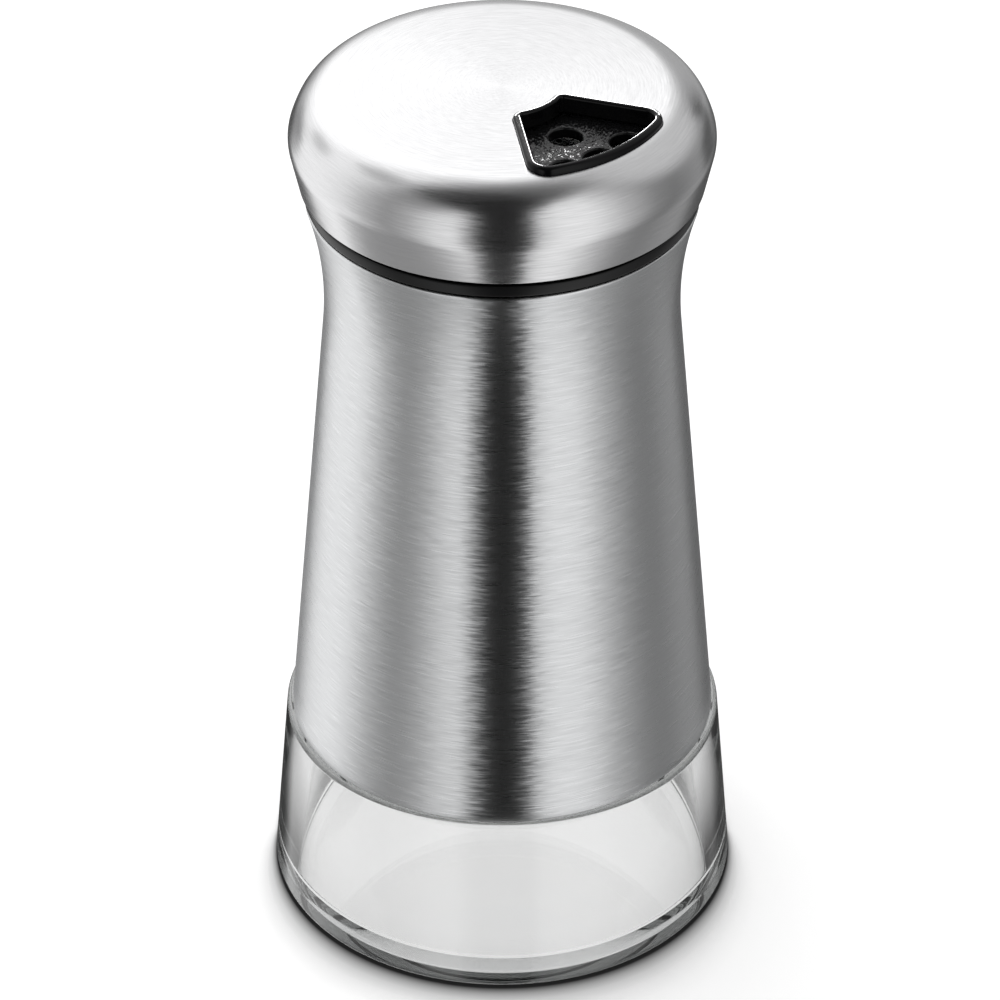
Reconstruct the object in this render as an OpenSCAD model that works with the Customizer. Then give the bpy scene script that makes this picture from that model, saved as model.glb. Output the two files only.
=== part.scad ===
// Spice shaker: a tapered glass jar in a flared steel sleeve, closed by a screwed sifter
// base. A steel cap with a black selector inside turns on that base and brings its window
// over the sifter's large holes, its fine holes, its pour slot or its blank quarter.
// Millimetres, +Z up. The origin is the middle of the ring that the jar stands on, and the
// window of the cap faces -Y.

/* [Jar] */
// Diameter of the glass at its heel
jar_d = 63.5; // [60:0.5:68]
// Rounding of the heel
heel_round = 1; // [0.5:0.1:1.6]
// Height of the glass ledge that carries the sleeve
ledge_z = 26.3; // [20:0.1:34]
// How far the ledge stands out past the sleeve
ledge_reveal = 0.75; // [0.4:0.05:1.2]
// Thickness of the floor
floor_t = 3; // [2.4:0.1:5]
// Wall of the jar beside its floor
jar_wall = 3.3; // [2.8:0.1:4.2]
// Wall of the jar behind the sleeve's lower edge
ledge_wall = 2.2; // [1.8:0.1:2.8]
// Wall of the jar below its shoulder
shoulder_wall = 2.5; // [2:0.1:3.2]
// Rounding between floor and wall, inside
floor_round = 3; // [1:0.5:5]
// Width of the ring that the jar stands on
foot_w = 5; // [3:0.5:8]
// Depth of the hollow under the floor
push_up = 0.8; // [0.4:0.1:1.4]

/* [Neck] */
// Diameter of the mouth
mouth_d = 34.8; // [30:0.2:36]
// Wall of the neck behind its thread
neck_wall = 2.5; // [2:0.1:3]
// Height of the shoulder that leads to the neck
shoulder_h = 3.4; // [2.5:0.1:5]
// Edge chamfer of the rim
rim_chamfer = 0.5; // [0.2:0.1:0.8]
// Height of the rim above the underside of the black flange
rim_rise = 4.25; // [3:0.05:5]

/* [Thread] */
// Rise of the thread in one turn
thread_pitch = 4.2; // [3.6:0.1:4.8]
// Turns of thread on the neck
thread_turns = 1.4; // [1:0.1:1.6]
// Height of the thread above the neck
thread_depth = 1.1; // [0.8:0.05:1.3]
// Width of a thread ridge at its foot
thread_foot_w = 2; // [1.6:0.1:2.2]
// Width of a thread ridge at its crest
thread_crest_w = 1; // [0.6:0.1:1.2]
// Space between crest and groove bottom
thread_gap = 0.2; // [0.15:0.05:0.3]
// Space between the flanks when the base is tight
thread_play = 0.15; // [0.12:0.01:0.3]
// Distance from the rim down to the upper end of the neck thread
thread_from_rim = 4.5; // [3.5:0.1:5]

/* [Sleeve] */
// Diameter of the sleeve at its lower edge
sleeve_d = 57.8; // [54:0.2:60]
// Height of the sleeve
sleeve_h = 81.2; // [74:0.2:90]
// Height of the waist above the lower edge
waist_h = 61.8; // [58:0.2:66]
// Space between the waist and the skirt of the sifter base above it, seen along the axis
waist_gap = 0.55; // [0.4:0.05:1]
// Radius of the flare above the waist
flare_round = 51; // [48:1:58]
// Thickness of the steel sheet
sheet_t = 0.5; // [0.4:0.05:0.6]
// Space between sleeve and glass, filled by two bands of adhesive
bond_gap = 0.3; // [0.2:0.05:0.4]
// Width of an adhesive band
bond_w = 5; // [3:0.5:8]

/* [Seal] */
// Thickness of the silicone ring
seal_t = 1.2; // [0.8:0.1:1.6]
// Space between the seal and the wall around it
seal_gap = 0.3; // [0.2:0.05:0.4]
// How far the bead that keeps the seal stands in from the wall
seal_bead = 0.7; // [0.5:0.05:0.8]

/* [Sifter base] */
// Wall of the skirt around its thread
skirt_wall = 1.4; // [1.1:0.05:1.5]
// Length of the skirt below the flange
skirt_h = 10.2; // [9:0.1:11]
// Diameter of the black flange
flange_d = 51.5; // [50:0.1:54]
// Thickness of the flange
flange_t = 1.6; // [1.2:0.1:2]
// Space between the flange and the rim of the sleeve
flange_gap = 0.25; // [0.2:0.05:0.5]
// Thickness of the sifter disc
disc_t = 1.4; // [1.1:0.1:1.8]
// Wall of the chamber below the disc
chamber_wall = 1.2; // [1:0.1:1.4]
// Height of the funnel-shaped part of the chamber
chamber_cone_h = 5; // [3:0.5:5.5]
// Chamfer around the disc
disc_chamfer = 1; // [0.8:0.1:1.2]
// Diameter of the hub below the disc
hub_d = 12; // [10:0.5:14]
// Length of the hub below the disc
hub_h = 3.2; // [2.4:0.1:3.6]

/* [Sifter holes] */
// Diameter of a large hole
large_hole_d = 4.2; // [3.4:0.1:4.6]
// Diameter of a fine hole
fine_hole_d = 2; // [1.4:0.1:2.4]
// Radius of the inner row of holes
inner_row_r = 12.4; // [11.6:0.1:12.8]
// Distance from the large holes of the outer row to the wall of the chamber
row_margin = 0.2; // [0.1:0.05:0.6]
// Angle from one large hole to the next
large_hole_step = 15.5; // [14:0.5:17]
// Angle from one fine hole to the next in the outer row
fine_hole_step = 10; // [8:0.5:11]
// Angle from one fine hole to the next in the inner row
fine_inner_step = 16; // [12:0.5:18]
// Chamfer around each hole
hole_chamfer = 0.35; // [0.2:0.05:0.4]
// Radius of the pour slot at its inner arc
pour_in_r = 9.5; // [8.5:0.1:11]
// Radius of the pour slot at its outer arc
pour_out_r = 20.4; // [18:0.1:21]
// Half of the angle that the pour slot spans
pour_half = 25; // [18:0.5:27]
// Corner radius of the pour slot
pour_round = 1.5; // [0.8:0.1:2]

/* [Selector] */
// Running space between the sifter disc and the selector
selector_gap = 0.25; // [0.2:0.01:0.3]
// Thickness of the selector plate
plate_t = 0.85; // [0.7:0.05:0.95]
// Space between the selector's skirt and the chamber
skirt_gap = 0.35; // [0.25:0.05:0.45]
// Thickness of the selector's skirt
selector_wall = 1.45; // [1.2:0.05:1.6]
// Height of the foot that carries the cap's flank
grip_h = 1.2; // [0.8:0.1:2]
// Diameter of the spindle
spindle_d = 7; // [6:0.1:8]
// Running clearance around the spindle, on radius
spindle_clearance = 0.05; // [0.02:0.01:0.1]

/* [Window] */
// Radius of the window at its inner arc, outside the lip
window_in_r = 7.3; // [6.8:0.1:8]
// Radius of the window at its outer arc, outside the lip
window_out_r = 22.4; // [22:0.1:22.6]
// Half of the angle that the window spans
window_half = 31.7; // [29:0.1:34]
// Corner radius at the outer arc
window_out_round = 2.8; // [2:0.1:3.4]
// Corner radius at the inner arc
window_in_round = 1.6; // [1.3:0.1:2]
// Thickness of the lip around the window
lip_w = 1.1; // [0.8:0.05:1.2]
// Height of the lip above the steel
lip_h = 0.75; // [0.5:0.05:1]
// Space between the lip and the steel
lip_gap = 0.08; // [0.05:0.01:0.12]

/* [Steel cap] */
// Largest diameter of the cap
cap_d = 55.4; // [54.8:0.1:57]
// Height from the cap's lower edge up to its largest diameter
cap_belt_h = 6.22; // [5.6:0.1:7]
// Gap between the flange and the cap's lower edge
cap_reveal = 0.83; // [0.6:0.05:1.2]
// Slope of the cap's flank below its largest diameter
flank_slope = 12.6; // [10:0.2:14]
// Radius of the curve at the largest diameter
belt_round = 4.5; // [3.5:0.1:5.5]
// Angle at which that curve ends, above the level
belt_turn = 18; // [14:1:20]
// Radius of the slow curve above it
bevel_round = 20; // [14:1:26]
// Angle at which the slow curve ends
bevel_turn = 23; // [21:0.5:26]
// Radius of the shoulder
shoulder_round = 6.4; // [6:0.1:6.8]
// Angle at which the shoulder runs into the crown
shoulder_turn = 89; // [88:0.1:89.2]
// Width of the turned-in hem at the lower edge
hem_w = 0.9; // [0.6:0.05:1.1]
// Depth from the crown down to the sifter disc
disc_drop = 1.85; // [1.75:0.05:1.9]

/* [Fasteners] */
// Diameter of the spindle screw's shank
screw_d = 2.5; // [2.2:0.1:3]
// Length of the shank inside the spindle
screw_h = 5; // [4:0.5:5.5]
// Diameter of the screw's head
screw_head_d = 5.6; // [5:0.1:6.5]
// Height of the screw's head
screw_head_h = 1.8; // [1.4:0.1:2]
// Diameter of the washer
washer_d = 11; // [9.5:0.5:12]
// Thickness of the washer
washer_t = 0.5; // [0.4:0.05:0.6]
// Height of the disc spring between washer and hub
spring_h = 0.6; // [0.5:0.05:0.8]
// Thickness of the disc spring
spring_t = 0.25; // [0.2:0.05:0.3]

/* [Hidden] */
$fn = 96;

// Overlap that makes one solid of two shapes, and overshoot of a cut
fuse = 0.3;
cut = 1;
// Steps of a drawn arc
arc_steps = 8;

// Radii of the neck, its thread and the skirt that screws on it
mouth_r = mouth_d / 2;
neck_r = mouth_r + neck_wall;
thread_r = neck_r + thread_depth;
groove_r = thread_r + thread_gap;
base_r = groove_r + skirt_wall;
chamber_r = base_r - chamber_wall;

// Sleeve and the glass behind it
waist_r = base_r + waist_gap + sheet_t;
sleeve_top_z = ledge_z + sleeve_h;
waist_z = ledge_z + waist_h;
taper = atan((sleeve_d / 2 - waist_r) / waist_h);
flare_centre = [waist_r, waist_z] + flare_round * [cos(taper), sin(taper)];
slope_sheet = sheet_t / cos(taper);
slope_bond = bond_gap / cos(taper);

// Levels of the lid, from the sleeve's rim upwards
flange_z = sleeve_top_z + flange_gap;
flange_top_z = flange_z + flange_t;
cap_edge_z = flange_top_z + cap_reveal;
belt_z = cap_edge_z + cap_belt_h;
belt_centre = [cap_d / 2 - belt_round, belt_z];
bevel_centre = belt_centre + (belt_round - bevel_round) * [cos(belt_turn), sin(belt_turn)];
shoulder_centre = bevel_centre
    + (bevel_round - shoulder_round) * [cos(bevel_turn), sin(bevel_turn)];
crown_edge = shoulder_centre + shoulder_round * [cos(shoulder_turn), sin(shoulder_turn)];
crown_round = crown_edge.x / cos(shoulder_turn);
crown_centre_z = crown_edge.y - crown_round * sin(shoulder_turn);
crown_z = crown_centre_z + crown_round;
disc_z = crown_z - disc_drop;
disc_under_z = disc_z - disc_t;

// Levels of the neck, thread and seal
rim_z = flange_z + rim_rise;
thread_top_z = rim_z - thread_from_rim;
thread_start_z = thread_top_z - thread_turns * thread_pitch;
crest_gap_r = neck_r + thread_gap;
flank_run = (thread_foot_w - thread_crest_w) / 2 * thread_gap / thread_depth;
thread_drop = (thread_foot_w + thread_crest_w) / 2 - flank_run + thread_play;
thread_lead = 0.28;
seat_z = rim_z + seal_t;
seat_r = mouth_r + seal_gap;
seal_r = groove_r - seal_gap;
skirt_z = flange_z - skirt_h;

// Sifter holes
outer_row_r = chamber_r - large_hole_d / 2 - row_margin;

// Glass outlines
jar_r = jar_d / 2;
ledge_r = sleeve_d / 2 + ledge_reveal;
ledge_round = ledge_reveal;
glass_waist_r = waist_r - slope_sheet - slope_bond;
neck_base_z = waist_z + shoulder_h;

// Selector, spindle and what hangs on it
plate_z = disc_z + selector_gap;
selector_in_r = base_r + skirt_gap;
selector_r = selector_in_r + selector_wall;
selector_foot_z = flange_top_z + skirt_gap;
grip_z = cap_edge_z + sheet_t + lip_gap;
spindle_end_z = disc_under_z - hub_h - spring_h;
washer_z = spindle_end_z - washer_t;
pilot_gap = 0.02;
spring_slack = 0.03;

// Click stops: four dimples in the disc and one nub under the plate, between the quarters
stop_r = 10;
stop_turn = 45;
dimple_round = 1.6;
dimple_depth = 0.25;
nub_round = 1.5;
nub_h = 0.2;

// Which quarter of the disc holds what, as the angle of its middle
window_turn = -90;
fine_turn = 0;
pour_turn = 90;
fine_outer_side = 2;
fine_inner_side = 1;
large_outer_side = 1;

function polar(r, a) = [r * cos(a), r * sin(a)];
function arc(c, r, from, to, steps = arc_steps) =
    [for (i = [0:steps]) c + polar(r, from + (to - from) * i / steps)];
function reversed(points) = [for (i = [len(points) - 1:-1:0]) points[i]];

// Outer radius of the sleeve's cone at height z
function sleeve_r(z) = sleeve_d / 2 - (z - ledge_z) * tan(taper);
function sleeve_in_r(z) = sleeve_r(z) - slope_sheet;
function glass_r(z) = sleeve_in_r(z) - slope_bond;

// Flare of the sleeve, from the waist to the rim, inset into the sheet
function flare(inset) =
    arc(flare_centre, flare_round + inset, 180 + taper,
        180 + asin((flare_centre.y - sleeve_top_z) / (flare_round + inset)));

// Outline of the cap from its lower edge to the crown, moved inwards by inset
function flank_foot_r(z, inset) =
    let (start = belt_centre + polar(belt_round - inset, -flank_slope))
    start.x - (start.y - z) * tan(flank_slope);
function cap_line(inset) = concat(
    [[flank_foot_r(cap_edge_z, inset), cap_edge_z]],
    arc(belt_centre, belt_round - inset, -flank_slope, belt_turn),
    arc(bevel_centre, bevel_round - inset, belt_turn, bevel_turn, 1),
    arc(shoulder_centre, shoulder_round - inset, bevel_turn, shoulder_turn, 2 * arc_steps),
    arc([0, crown_centre_z], crown_round - inset, shoulder_turn, 90, 2)
);

// Sector with rounded corners whose sides point at the axis, grown by grow all round.
// Where the arcs at radius out_r and in_r meet their corners, the shared point is left out.
function sector(in_r, out_r, half, in_round, out_round, grow = 0) =
    let (
        far = out_r - out_round,
        near = in_r + in_round,
        far_turn = half - asin(out_round / far),
        near_turn = half - asin(in_round / near),
        inner_step = 2 * near_turn / arc_steps,
        outer_step = 2 * far_turn / arc_steps
    )
    concat(
        arc(polar(far, -far_turn), out_round + grow, -half - 90, -far_turn),
        arc([0, 0], out_r + grow, outer_step - far_turn, far_turn - outer_step, arc_steps - 2),
        arc(polar(far, far_turn), out_round + grow, far_turn, half + 90),
        arc(polar(near, near_turn), in_round + grow, half + 90, near_turn + 180),
        arc([0, 0], in_r - grow, near_turn - inner_step, inner_step - near_turn, arc_steps - 2),
        arc(polar(near, -near_turn), in_round + grow, 180 - near_turn, 270 - half)
    );

// Upright block over the window's outline, grown by grow all round
module window_block(grow, from_z, to_z) {
    rotate(window_turn)
        translate([0, 0, from_z])
            linear_extrude(to_z - from_z)
                polygon(sector(window_in_r, window_out_r, window_half,
                               window_in_round, window_out_round, grow));
}

// Solid of revolution that fills the cap down to its lower edge, inset from its outside
module cap_envelope(inset) {
    rotate_extrude() polygon(concat([[0, cap_edge_z]], cap_line(inset)));
}

// Helical ridge on a round wall. It grows out of foot_r towards crest_r, which is larger
// on a neck and smaller in a skirt, and fades into the wall at both ends.
module thread_ridge(foot_r, crest_r, start_z, start_turn, turns) {
    steps_a_turn = 60;
    fade_steps = 8;
    steps = ceil(turns * steps_a_turn);
    side = sign(crest_r - foot_r);
    function fade(i) = min(1, (i + 0.2) / fade_steps, (steps - i + 0.2) / fade_steps);
    function ring(i) =
        let (
            a = 360 * (start_turn + i / steps_a_turn),
            z = start_z + thread_pitch * i / steps_a_turn,
            crest = foot_r + (crest_r - foot_r) * fade(i)
        )
        [for (p = [[foot_r, -thread_foot_w], [crest, -thread_crest_w],
                   [crest, thread_crest_w], [foot_r, thread_foot_w]])
            [p.x * cos(a), p.x * sin(a), z + side * p.y / 2]];
    points = [for (i = [0:steps]) each ring(i)];
    walls = [for (i = [0:steps - 1], k = [0:3])
        let (a = 4 * i + k, b = 4 * i + (k + 1) % 4)
        each [[a, b, a + 4], [b, b + 4, a + 4]]];
    last = 4 * steps;
    caps = [[0, 2, 1], [0, 3, 2], [last, last + 1, last + 2], [last, last + 2, last + 3]];
    polyhedron(points, concat(walls, caps));
}

// Pressed and annealed glass: thick floor, ledge for the sleeve, cone, shoulder and neck
module glass_jar() {
    foot_r = jar_r - heel_round;
    hollow_r = foot_r - foot_w;
    heel_slope = atan((jar_r - ledge_r) / (ledge_z - heel_round));
    floor_r = jar_r - jar_wall;
    inner_ledge_r = glass_r(ledge_z) - ledge_wall;
    inner_top_r = glass_waist_r - shoulder_wall;
    floor_slope = atan((floor_r - inner_ledge_r) / (ledge_z - floor_t));
    outside = concat(
        [[0, push_up], [hollow_r, push_up], [hollow_r + push_up, 0]],
        arc([foot_r, heel_round], heel_round, -90, heel_slope, 4),
        arc([ledge_r - ledge_round, ledge_z - ledge_round], ledge_round, heel_slope, 90, 4),
        [[glass_r(ledge_z), ledge_z], [glass_waist_r, waist_z]],
        [[neck_r, neck_base_z], [neck_r, rim_z - rim_chamfer], [neck_r - rim_chamfer, rim_z]]
    );
    inside = concat(
        [[mouth_r + rim_chamfer, rim_z], [mouth_r, rim_z - rim_chamfer], [mouth_r, neck_base_z]],
        [[inner_top_r, waist_z], [inner_ledge_r, ledge_z]],
        arc([floor_r - floor_round, floor_t + floor_round], floor_round, floor_slope, -90, 6),
        [[0, floor_t]]
    );
    color("#dfe7e6", 0.35)
        union() {
            rotate_extrude() polygon(concat(outside, inside));
            thread_ridge(neck_r - fuse, thread_r, thread_start_z, 0, thread_turns);
        }
}

// Drawn steel sleeve: straight taper from the ledge to the waist, then a flare to the rim
module body_sleeve() {
    outside = concat([[sleeve_d / 2, ledge_z]], flare(0));
    inside = concat([[sleeve_in_r(ledge_z), ledge_z]], flare(sheet_t));
    color("#b9babb")
        rotate_extrude() polygon(concat(outside, reversed(inside)));
}

// Band of clear adhesive that fills the space between sleeve and glass from height z
module adhesive_band(z) {
    top = z + bond_w;
    color("#e8e4d8")
        rotate_extrude()
            polygon([[glass_r(z), z], [sleeve_in_r(z), z], [sleeve_in_r(top), top],
                     [glass_r(top), top]]);
}

module lower_adhesive_band() {
    adhesive_band(ledge_z + bond_w / 2);
}

module upper_adhesive_band() {
    adhesive_band(waist_z - 2 * bond_w);
}

// Flat silicone ring between the rim of the jar and the seat in the base
module jar_seal() {
    color("#cfd2d2")
        rotate_extrude()
            polygon([[seat_r, rim_z], [seal_r, rim_z], [seal_r, seat_z], [seat_r, seat_z]]);
}

// Vertical hole through the disc with a chamfered upper edge
module sifter_hole(d, r, a) {
    translate([r * cos(a), r * sin(a), 0]) {
        translate([0, 0, disc_under_z - cut]) cylinder(d = d, h = disc_t + 2 * cut);
        translate([0, 0, disc_z - hole_chamfer])
            cylinder(d1 = d, d2 = d + 2 * hole_chamfer + 2 * fuse, h = hole_chamfer + fuse);
    }
}

module sifter_holes() {
    sifter_hole(large_hole_d, inner_row_r, window_turn);
    for (i = [-large_outer_side:large_outer_side])
        sifter_hole(large_hole_d, outer_row_r, window_turn + i * large_hole_step);
    for (i = [-fine_inner_side:fine_inner_side])
        sifter_hole(fine_hole_d, inner_row_r, fine_turn + i * fine_inner_step);
    for (i = [-fine_outer_side:fine_outer_side])
        sifter_hole(fine_hole_d, outer_row_r, fine_turn + i * fine_hole_step);
    rotate(pour_turn)
        translate([0, 0, disc_under_z - cut])
            linear_extrude(disc_t + 2 * cut)
                polygon(sector(pour_in_r, pour_out_r, pour_half, pour_round, pour_round));
}

// Black moulded base: threaded skirt, visible flange, funnel chamber, sifter disc and hub
module sifter_base() {
    edge = flange_t / 5;
    bead_z = rim_z - thread_gap;
    outline = concat(
        [[base_r, skirt_z], [base_r, flange_z]],
        arc([flange_d / 2 - edge, flange_z + edge], edge, -90, 0, 3),
        arc([flange_d / 2 - edge, flange_top_z - edge], edge, 0, 90, 3),
        [[base_r, flange_top_z], [base_r, disc_z - disc_chamfer],
         [base_r - disc_chamfer, disc_z], [0, disc_z], [0, disc_under_z]],
        [[chamber_r, disc_under_z], [chamber_r, seat_z + chamber_cone_h],
         [seat_r, seat_z], [groove_r, seat_z]],
        [[groove_r, bead_z], [groove_r - seal_bead, bead_z - seal_bead / 2],
         [groove_r, bead_z - seal_bead]],
        [[groove_r, skirt_z]]
    );
    color("#1d1d1f")
        difference() {
            union() {
                rotate_extrude() polygon(outline);
                translate([0, 0, disc_under_z - hub_h])
                    cylinder(d = hub_d, h = hub_h + fuse);
                thread_ridge(groove_r + fuse, crest_gap_r,
                             thread_start_z - thread_drop - thread_lead * thread_pitch,
                             -thread_lead, thread_turns);
            }
            sifter_holes();
            translate([0, 0, disc_under_z - hub_h - cut])
                cylinder(d = spindle_d + 2 * spindle_clearance, h = hub_h + disc_t + 2 * cut);
            for (i = [0:3])
                rotate(stop_turn + 90 * i)
                    translate([stop_r, 0, disc_z + dimple_round - dimple_depth])
                        sphere(r = dimple_round);
        }
}

// Black moulded selector: plate, skirt, window funnel with its raised lip, and spindle
module selector() {
    top = plate_z + plate_t;
    skirt_top = disc_z - disc_chamfer + selector_gap;
    inner_edge = base_r - disc_chamfer + selector_gap;
    shell = [
        [0, plate_z], [inner_edge, plate_z], [selector_in_r, skirt_top],
        [selector_in_r, selector_foot_z], [selector_r, selector_foot_z],
        [selector_r, grip_z], [cap_d / 2, grip_z], [cap_d / 2, grip_z + grip_h],
        [selector_r, grip_z + 2 * grip_h], [selector_r, top], [0, top]
    ];
    color("#161617")
        difference() {
            union() {
                intersection() {
                    rotate_extrude() polygon(shell);
                    cap_fill();
                }
                intersection() {
                    window_block(0, plate_z, crown_z + 2 * lip_h);
                    cap_envelope(-lip_h);
                }
                translate([0, 0, spindle_end_z])
                    cylinder(d = spindle_d, h = plate_z - spindle_end_z + fuse);
                rotate(stop_turn)
                    translate([stop_r, 0, plate_z + nub_round - nub_h])
                        intersection() {
                            sphere(r = nub_round);
                            translate([0, 0, -nub_round])
                                cylinder(r = nub_round, h = nub_h + plate_t / 2);
                        }
            }
            window_block(-lip_w, plate_z - cut, crown_z + 2 * lip_h);
            translate([0, 0, spindle_end_z - cut])
                cylinder(d = screw_d + 2 * pilot_gap, h = screw_h + 2 * cut);
        }
}

// Space that the selector may fill under the steel, open below the cap's lower edge
module cap_fill() {
    clear = sheet_t + pilot_gap;
    rotate_extrude()
        polygon(concat([[0, selector_foot_z - cut], [selector_r + fuse, selector_foot_z - cut],
                        [selector_r + fuse, cap_edge_z]], cap_line(clear)));
}

// Spun steel cap with a hem at its lower edge and a cut-out for the window's lip
module steel_cap() {
    edge_r = flank_foot_r(cap_edge_z, 0);
    hem_top = cap_edge_z + sheet_t;
    color("#c6c7c8")
        difference() {
            rotate_extrude()
                polygon(concat(
                    [[edge_r - hem_w, cap_edge_z]],
                    cap_line(0),
                    reversed([for (p = cap_line(sheet_t)) if (p.y > hem_top) p]),
                    [[flank_foot_r(hem_top, sheet_t), hem_top], [edge_r - hem_w, hem_top]]
                ));
            window_block(lip_gap, plate_z, crown_z + cut);
        }
}

// Thread-forming screw that holds the washer to the end of the spindle, with a cross slot
module spindle_screw() {
    slot_w = screw_head_d / 7;
    slot_l = screw_head_d * 0.6;
    slot_h = screw_head_h * 0.6;
    head_z = washer_z - screw_head_h;
    dome = screw_head_h / 3;
    color("#a9abad")
        difference() {
            union() {
                translate([0, 0, washer_z])
                    cylinder(d = screw_d, h = washer_t + screw_h);
                translate([0, 0, head_z + dome])
                    cylinder(d = screw_head_d, h = screw_head_h - dome);
                translate([0, 0, head_z])
                    cylinder(d1 = screw_head_d - 2 * dome, d2 = screw_head_d, h = dome);
            }
            for (a = [0, 90])
                rotate(a)
                    translate([-slot_l / 2, -slot_w / 2, head_z - cut])
                        cube([slot_l, slot_w, slot_h + cut]);
        }
}

// Flat washer clamped between the screw and the end of the spindle
module spindle_washer() {
    color("#b4b6b8")
        translate([0, 0, washer_z])
            difference() {
                cylinder(d = washer_d, h = washer_t);
                translate([0, 0, -cut])
                    cylinder(d = screw_d + 2 * pilot_gap, h = washer_t + 2 * cut);
            }
}

// Conical spring washer: it stands on the washer and pulls the selector down on the disc
module disc_spring() {
    in_r = spindle_d / 2 + spindle_clearance;
    out_r = hub_d / 2 - spring_t;
    low = spindle_end_z + spring_slack / 2;
    high = spindle_end_z + spring_h - spring_slack;
    color("#8f9193")
        rotate_extrude()
            polygon([[in_r, high - spring_t], [out_r - spring_t, low], [out_r, low],
                     [out_r, low + spring_t], [in_r + spring_t, high], [in_r, high]]);
}

glass_jar();
body_sleeve();
lower_adhesive_band();
upper_adhesive_band();
jar_seal();
sifter_base();
selector();
steel_cap();
spindle_screw();
spindle_washer();
disc_spring();
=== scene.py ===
# %% [markdown]
# # A spice shaker with a turning selector lid
#
# The shaker is a clear glass jar in a brushed steel sleeve. A black sifter base screws on the
# jar, and a domed steel cap with a black selector turns on that base. The construction comes
# as a fixed frame of CAD pieces. This lesson gives each piece its finish, and models anew the
# pieces whose rounded edges and smooth curves catch the light.

# %% Load the frame
import math

import bpy
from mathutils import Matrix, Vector


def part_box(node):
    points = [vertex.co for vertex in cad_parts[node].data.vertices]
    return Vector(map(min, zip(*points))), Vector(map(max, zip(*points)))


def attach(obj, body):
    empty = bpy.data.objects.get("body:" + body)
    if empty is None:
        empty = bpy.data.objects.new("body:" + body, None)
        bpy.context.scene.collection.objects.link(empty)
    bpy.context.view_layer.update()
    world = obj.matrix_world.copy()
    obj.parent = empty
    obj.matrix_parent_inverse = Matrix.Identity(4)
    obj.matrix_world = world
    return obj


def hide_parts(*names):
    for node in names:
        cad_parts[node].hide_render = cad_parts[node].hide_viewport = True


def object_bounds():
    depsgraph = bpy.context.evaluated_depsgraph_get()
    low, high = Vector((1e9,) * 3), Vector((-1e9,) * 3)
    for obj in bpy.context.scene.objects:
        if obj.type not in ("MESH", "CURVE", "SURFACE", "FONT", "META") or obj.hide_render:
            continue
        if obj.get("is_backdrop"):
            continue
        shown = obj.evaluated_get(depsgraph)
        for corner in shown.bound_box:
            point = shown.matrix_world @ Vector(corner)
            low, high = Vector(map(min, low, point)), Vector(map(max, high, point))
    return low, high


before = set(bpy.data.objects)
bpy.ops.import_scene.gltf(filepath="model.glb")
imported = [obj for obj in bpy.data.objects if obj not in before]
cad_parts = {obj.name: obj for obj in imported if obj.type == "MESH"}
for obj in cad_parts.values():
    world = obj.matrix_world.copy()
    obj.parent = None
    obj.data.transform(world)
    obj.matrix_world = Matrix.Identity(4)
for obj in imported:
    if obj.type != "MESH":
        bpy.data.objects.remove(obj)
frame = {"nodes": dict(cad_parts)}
cad_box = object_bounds()
print("pieces:", ", ".join(frame["nodes"]))

# %% [markdown]
# ## Sizes
#
# Blender works in metres here, and the shaker is drawn in millimetres, so every length passes
# through one factor. Radii and levels come from the boxes of the CAD pieces. Only what a box
# can't tell, such as the radius of a curve, is written out where it is needed.

# %% Units and levels
MM = 0.001


def foot_of(node):
    """Lowest level of a CAD piece, in mm."""
    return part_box(node)[0].z / MM


def top_of(node):
    """Highest level of a CAD piece, in mm."""
    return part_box(node)[1].z / MM


def radius_of(node):
    """Outer radius of a round CAD piece, in mm."""
    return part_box(node)[1].x / MM


sleeve_foot_z = foot_of("body_sleeve")
sleeve_rim_z = top_of("body_sleeve")
cap_edge_z = foot_of("steel_cap")
crown_z = top_of("steel_cap")
rim_z = top_of("glass_jar")
jar_r = min(abs(side) for corner in cad_box for side in corner[:2]) / MM
print(f"sleeve {sleeve_foot_z:.2f} to {sleeve_rim_z:.2f} mm")
print(f"cap {cap_edge_z:.2f} to {crown_z:.2f} mm")

# %% [markdown]
# ## Camera
#
# A long lens from about 0.8 m keeps the sides of the shaker nearly straight. It looks down by
# about 35 degrees and stands to the left of the window, which faces -Y. A slight shift frames
# the shaker without turning the camera.

# %% Camera
LENS_MM, SENSOR_MM = 201.6, 36
CAMERA_TURN = math.radians(-40.5)
CAMERA_OUT, CAMERA_UP = 0.6206, 0.4897
CAMERA_TILT = math.radians(55.23)
FRAME_SHIFT = -0.00227

camera_data = bpy.data.cameras.new("camera")
camera_data.lens = LENS_MM
camera_data.sensor_width = SENSOR_MM
camera_data.shift_x = FRAME_SHIFT
camera = bpy.data.objects.new("camera", camera_data)
camera.location = (
    CAMERA_OUT * math.sin(CAMERA_TURN),
    -CAMERA_OUT * math.cos(CAMERA_TURN),
    CAMERA_UP,
)
camera.rotation_euler = (CAMERA_TILT, 0, CAMERA_TURN)
bpy.context.scene.collection.objects.link(camera)
bpy.context.scene.camera = camera
bpy.context.scene.view_settings.view_transform = "Standard"
print("camera at", [round(v, 3) for v in camera.location])

# %% [markdown]
# ## Colours and nodes
#
# Colours are written as sRGB hex values, as a colour picker shows them, and turned to linear
# values once. One helper adds any node with its settings and its sockets, so that a material
# reads as a list of what it is made of.


# %% Colour and node helpers
def linear(hex_colour):
    """Linear RGBA of an sRGB colour such as '#c0c0c0'."""
    parts = [int(hex_colour[i : i + 2], 16) / 255 for i in (1, 3, 5)]
    return (*[c / 12.92 if c <= 0.04045 else ((c + 0.055) / 1.055) ** 2.4 for c in parts], 1)


def grey(level):
    """Linear RGBA of a plain grey."""
    return (level, level, level, 1)


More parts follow.
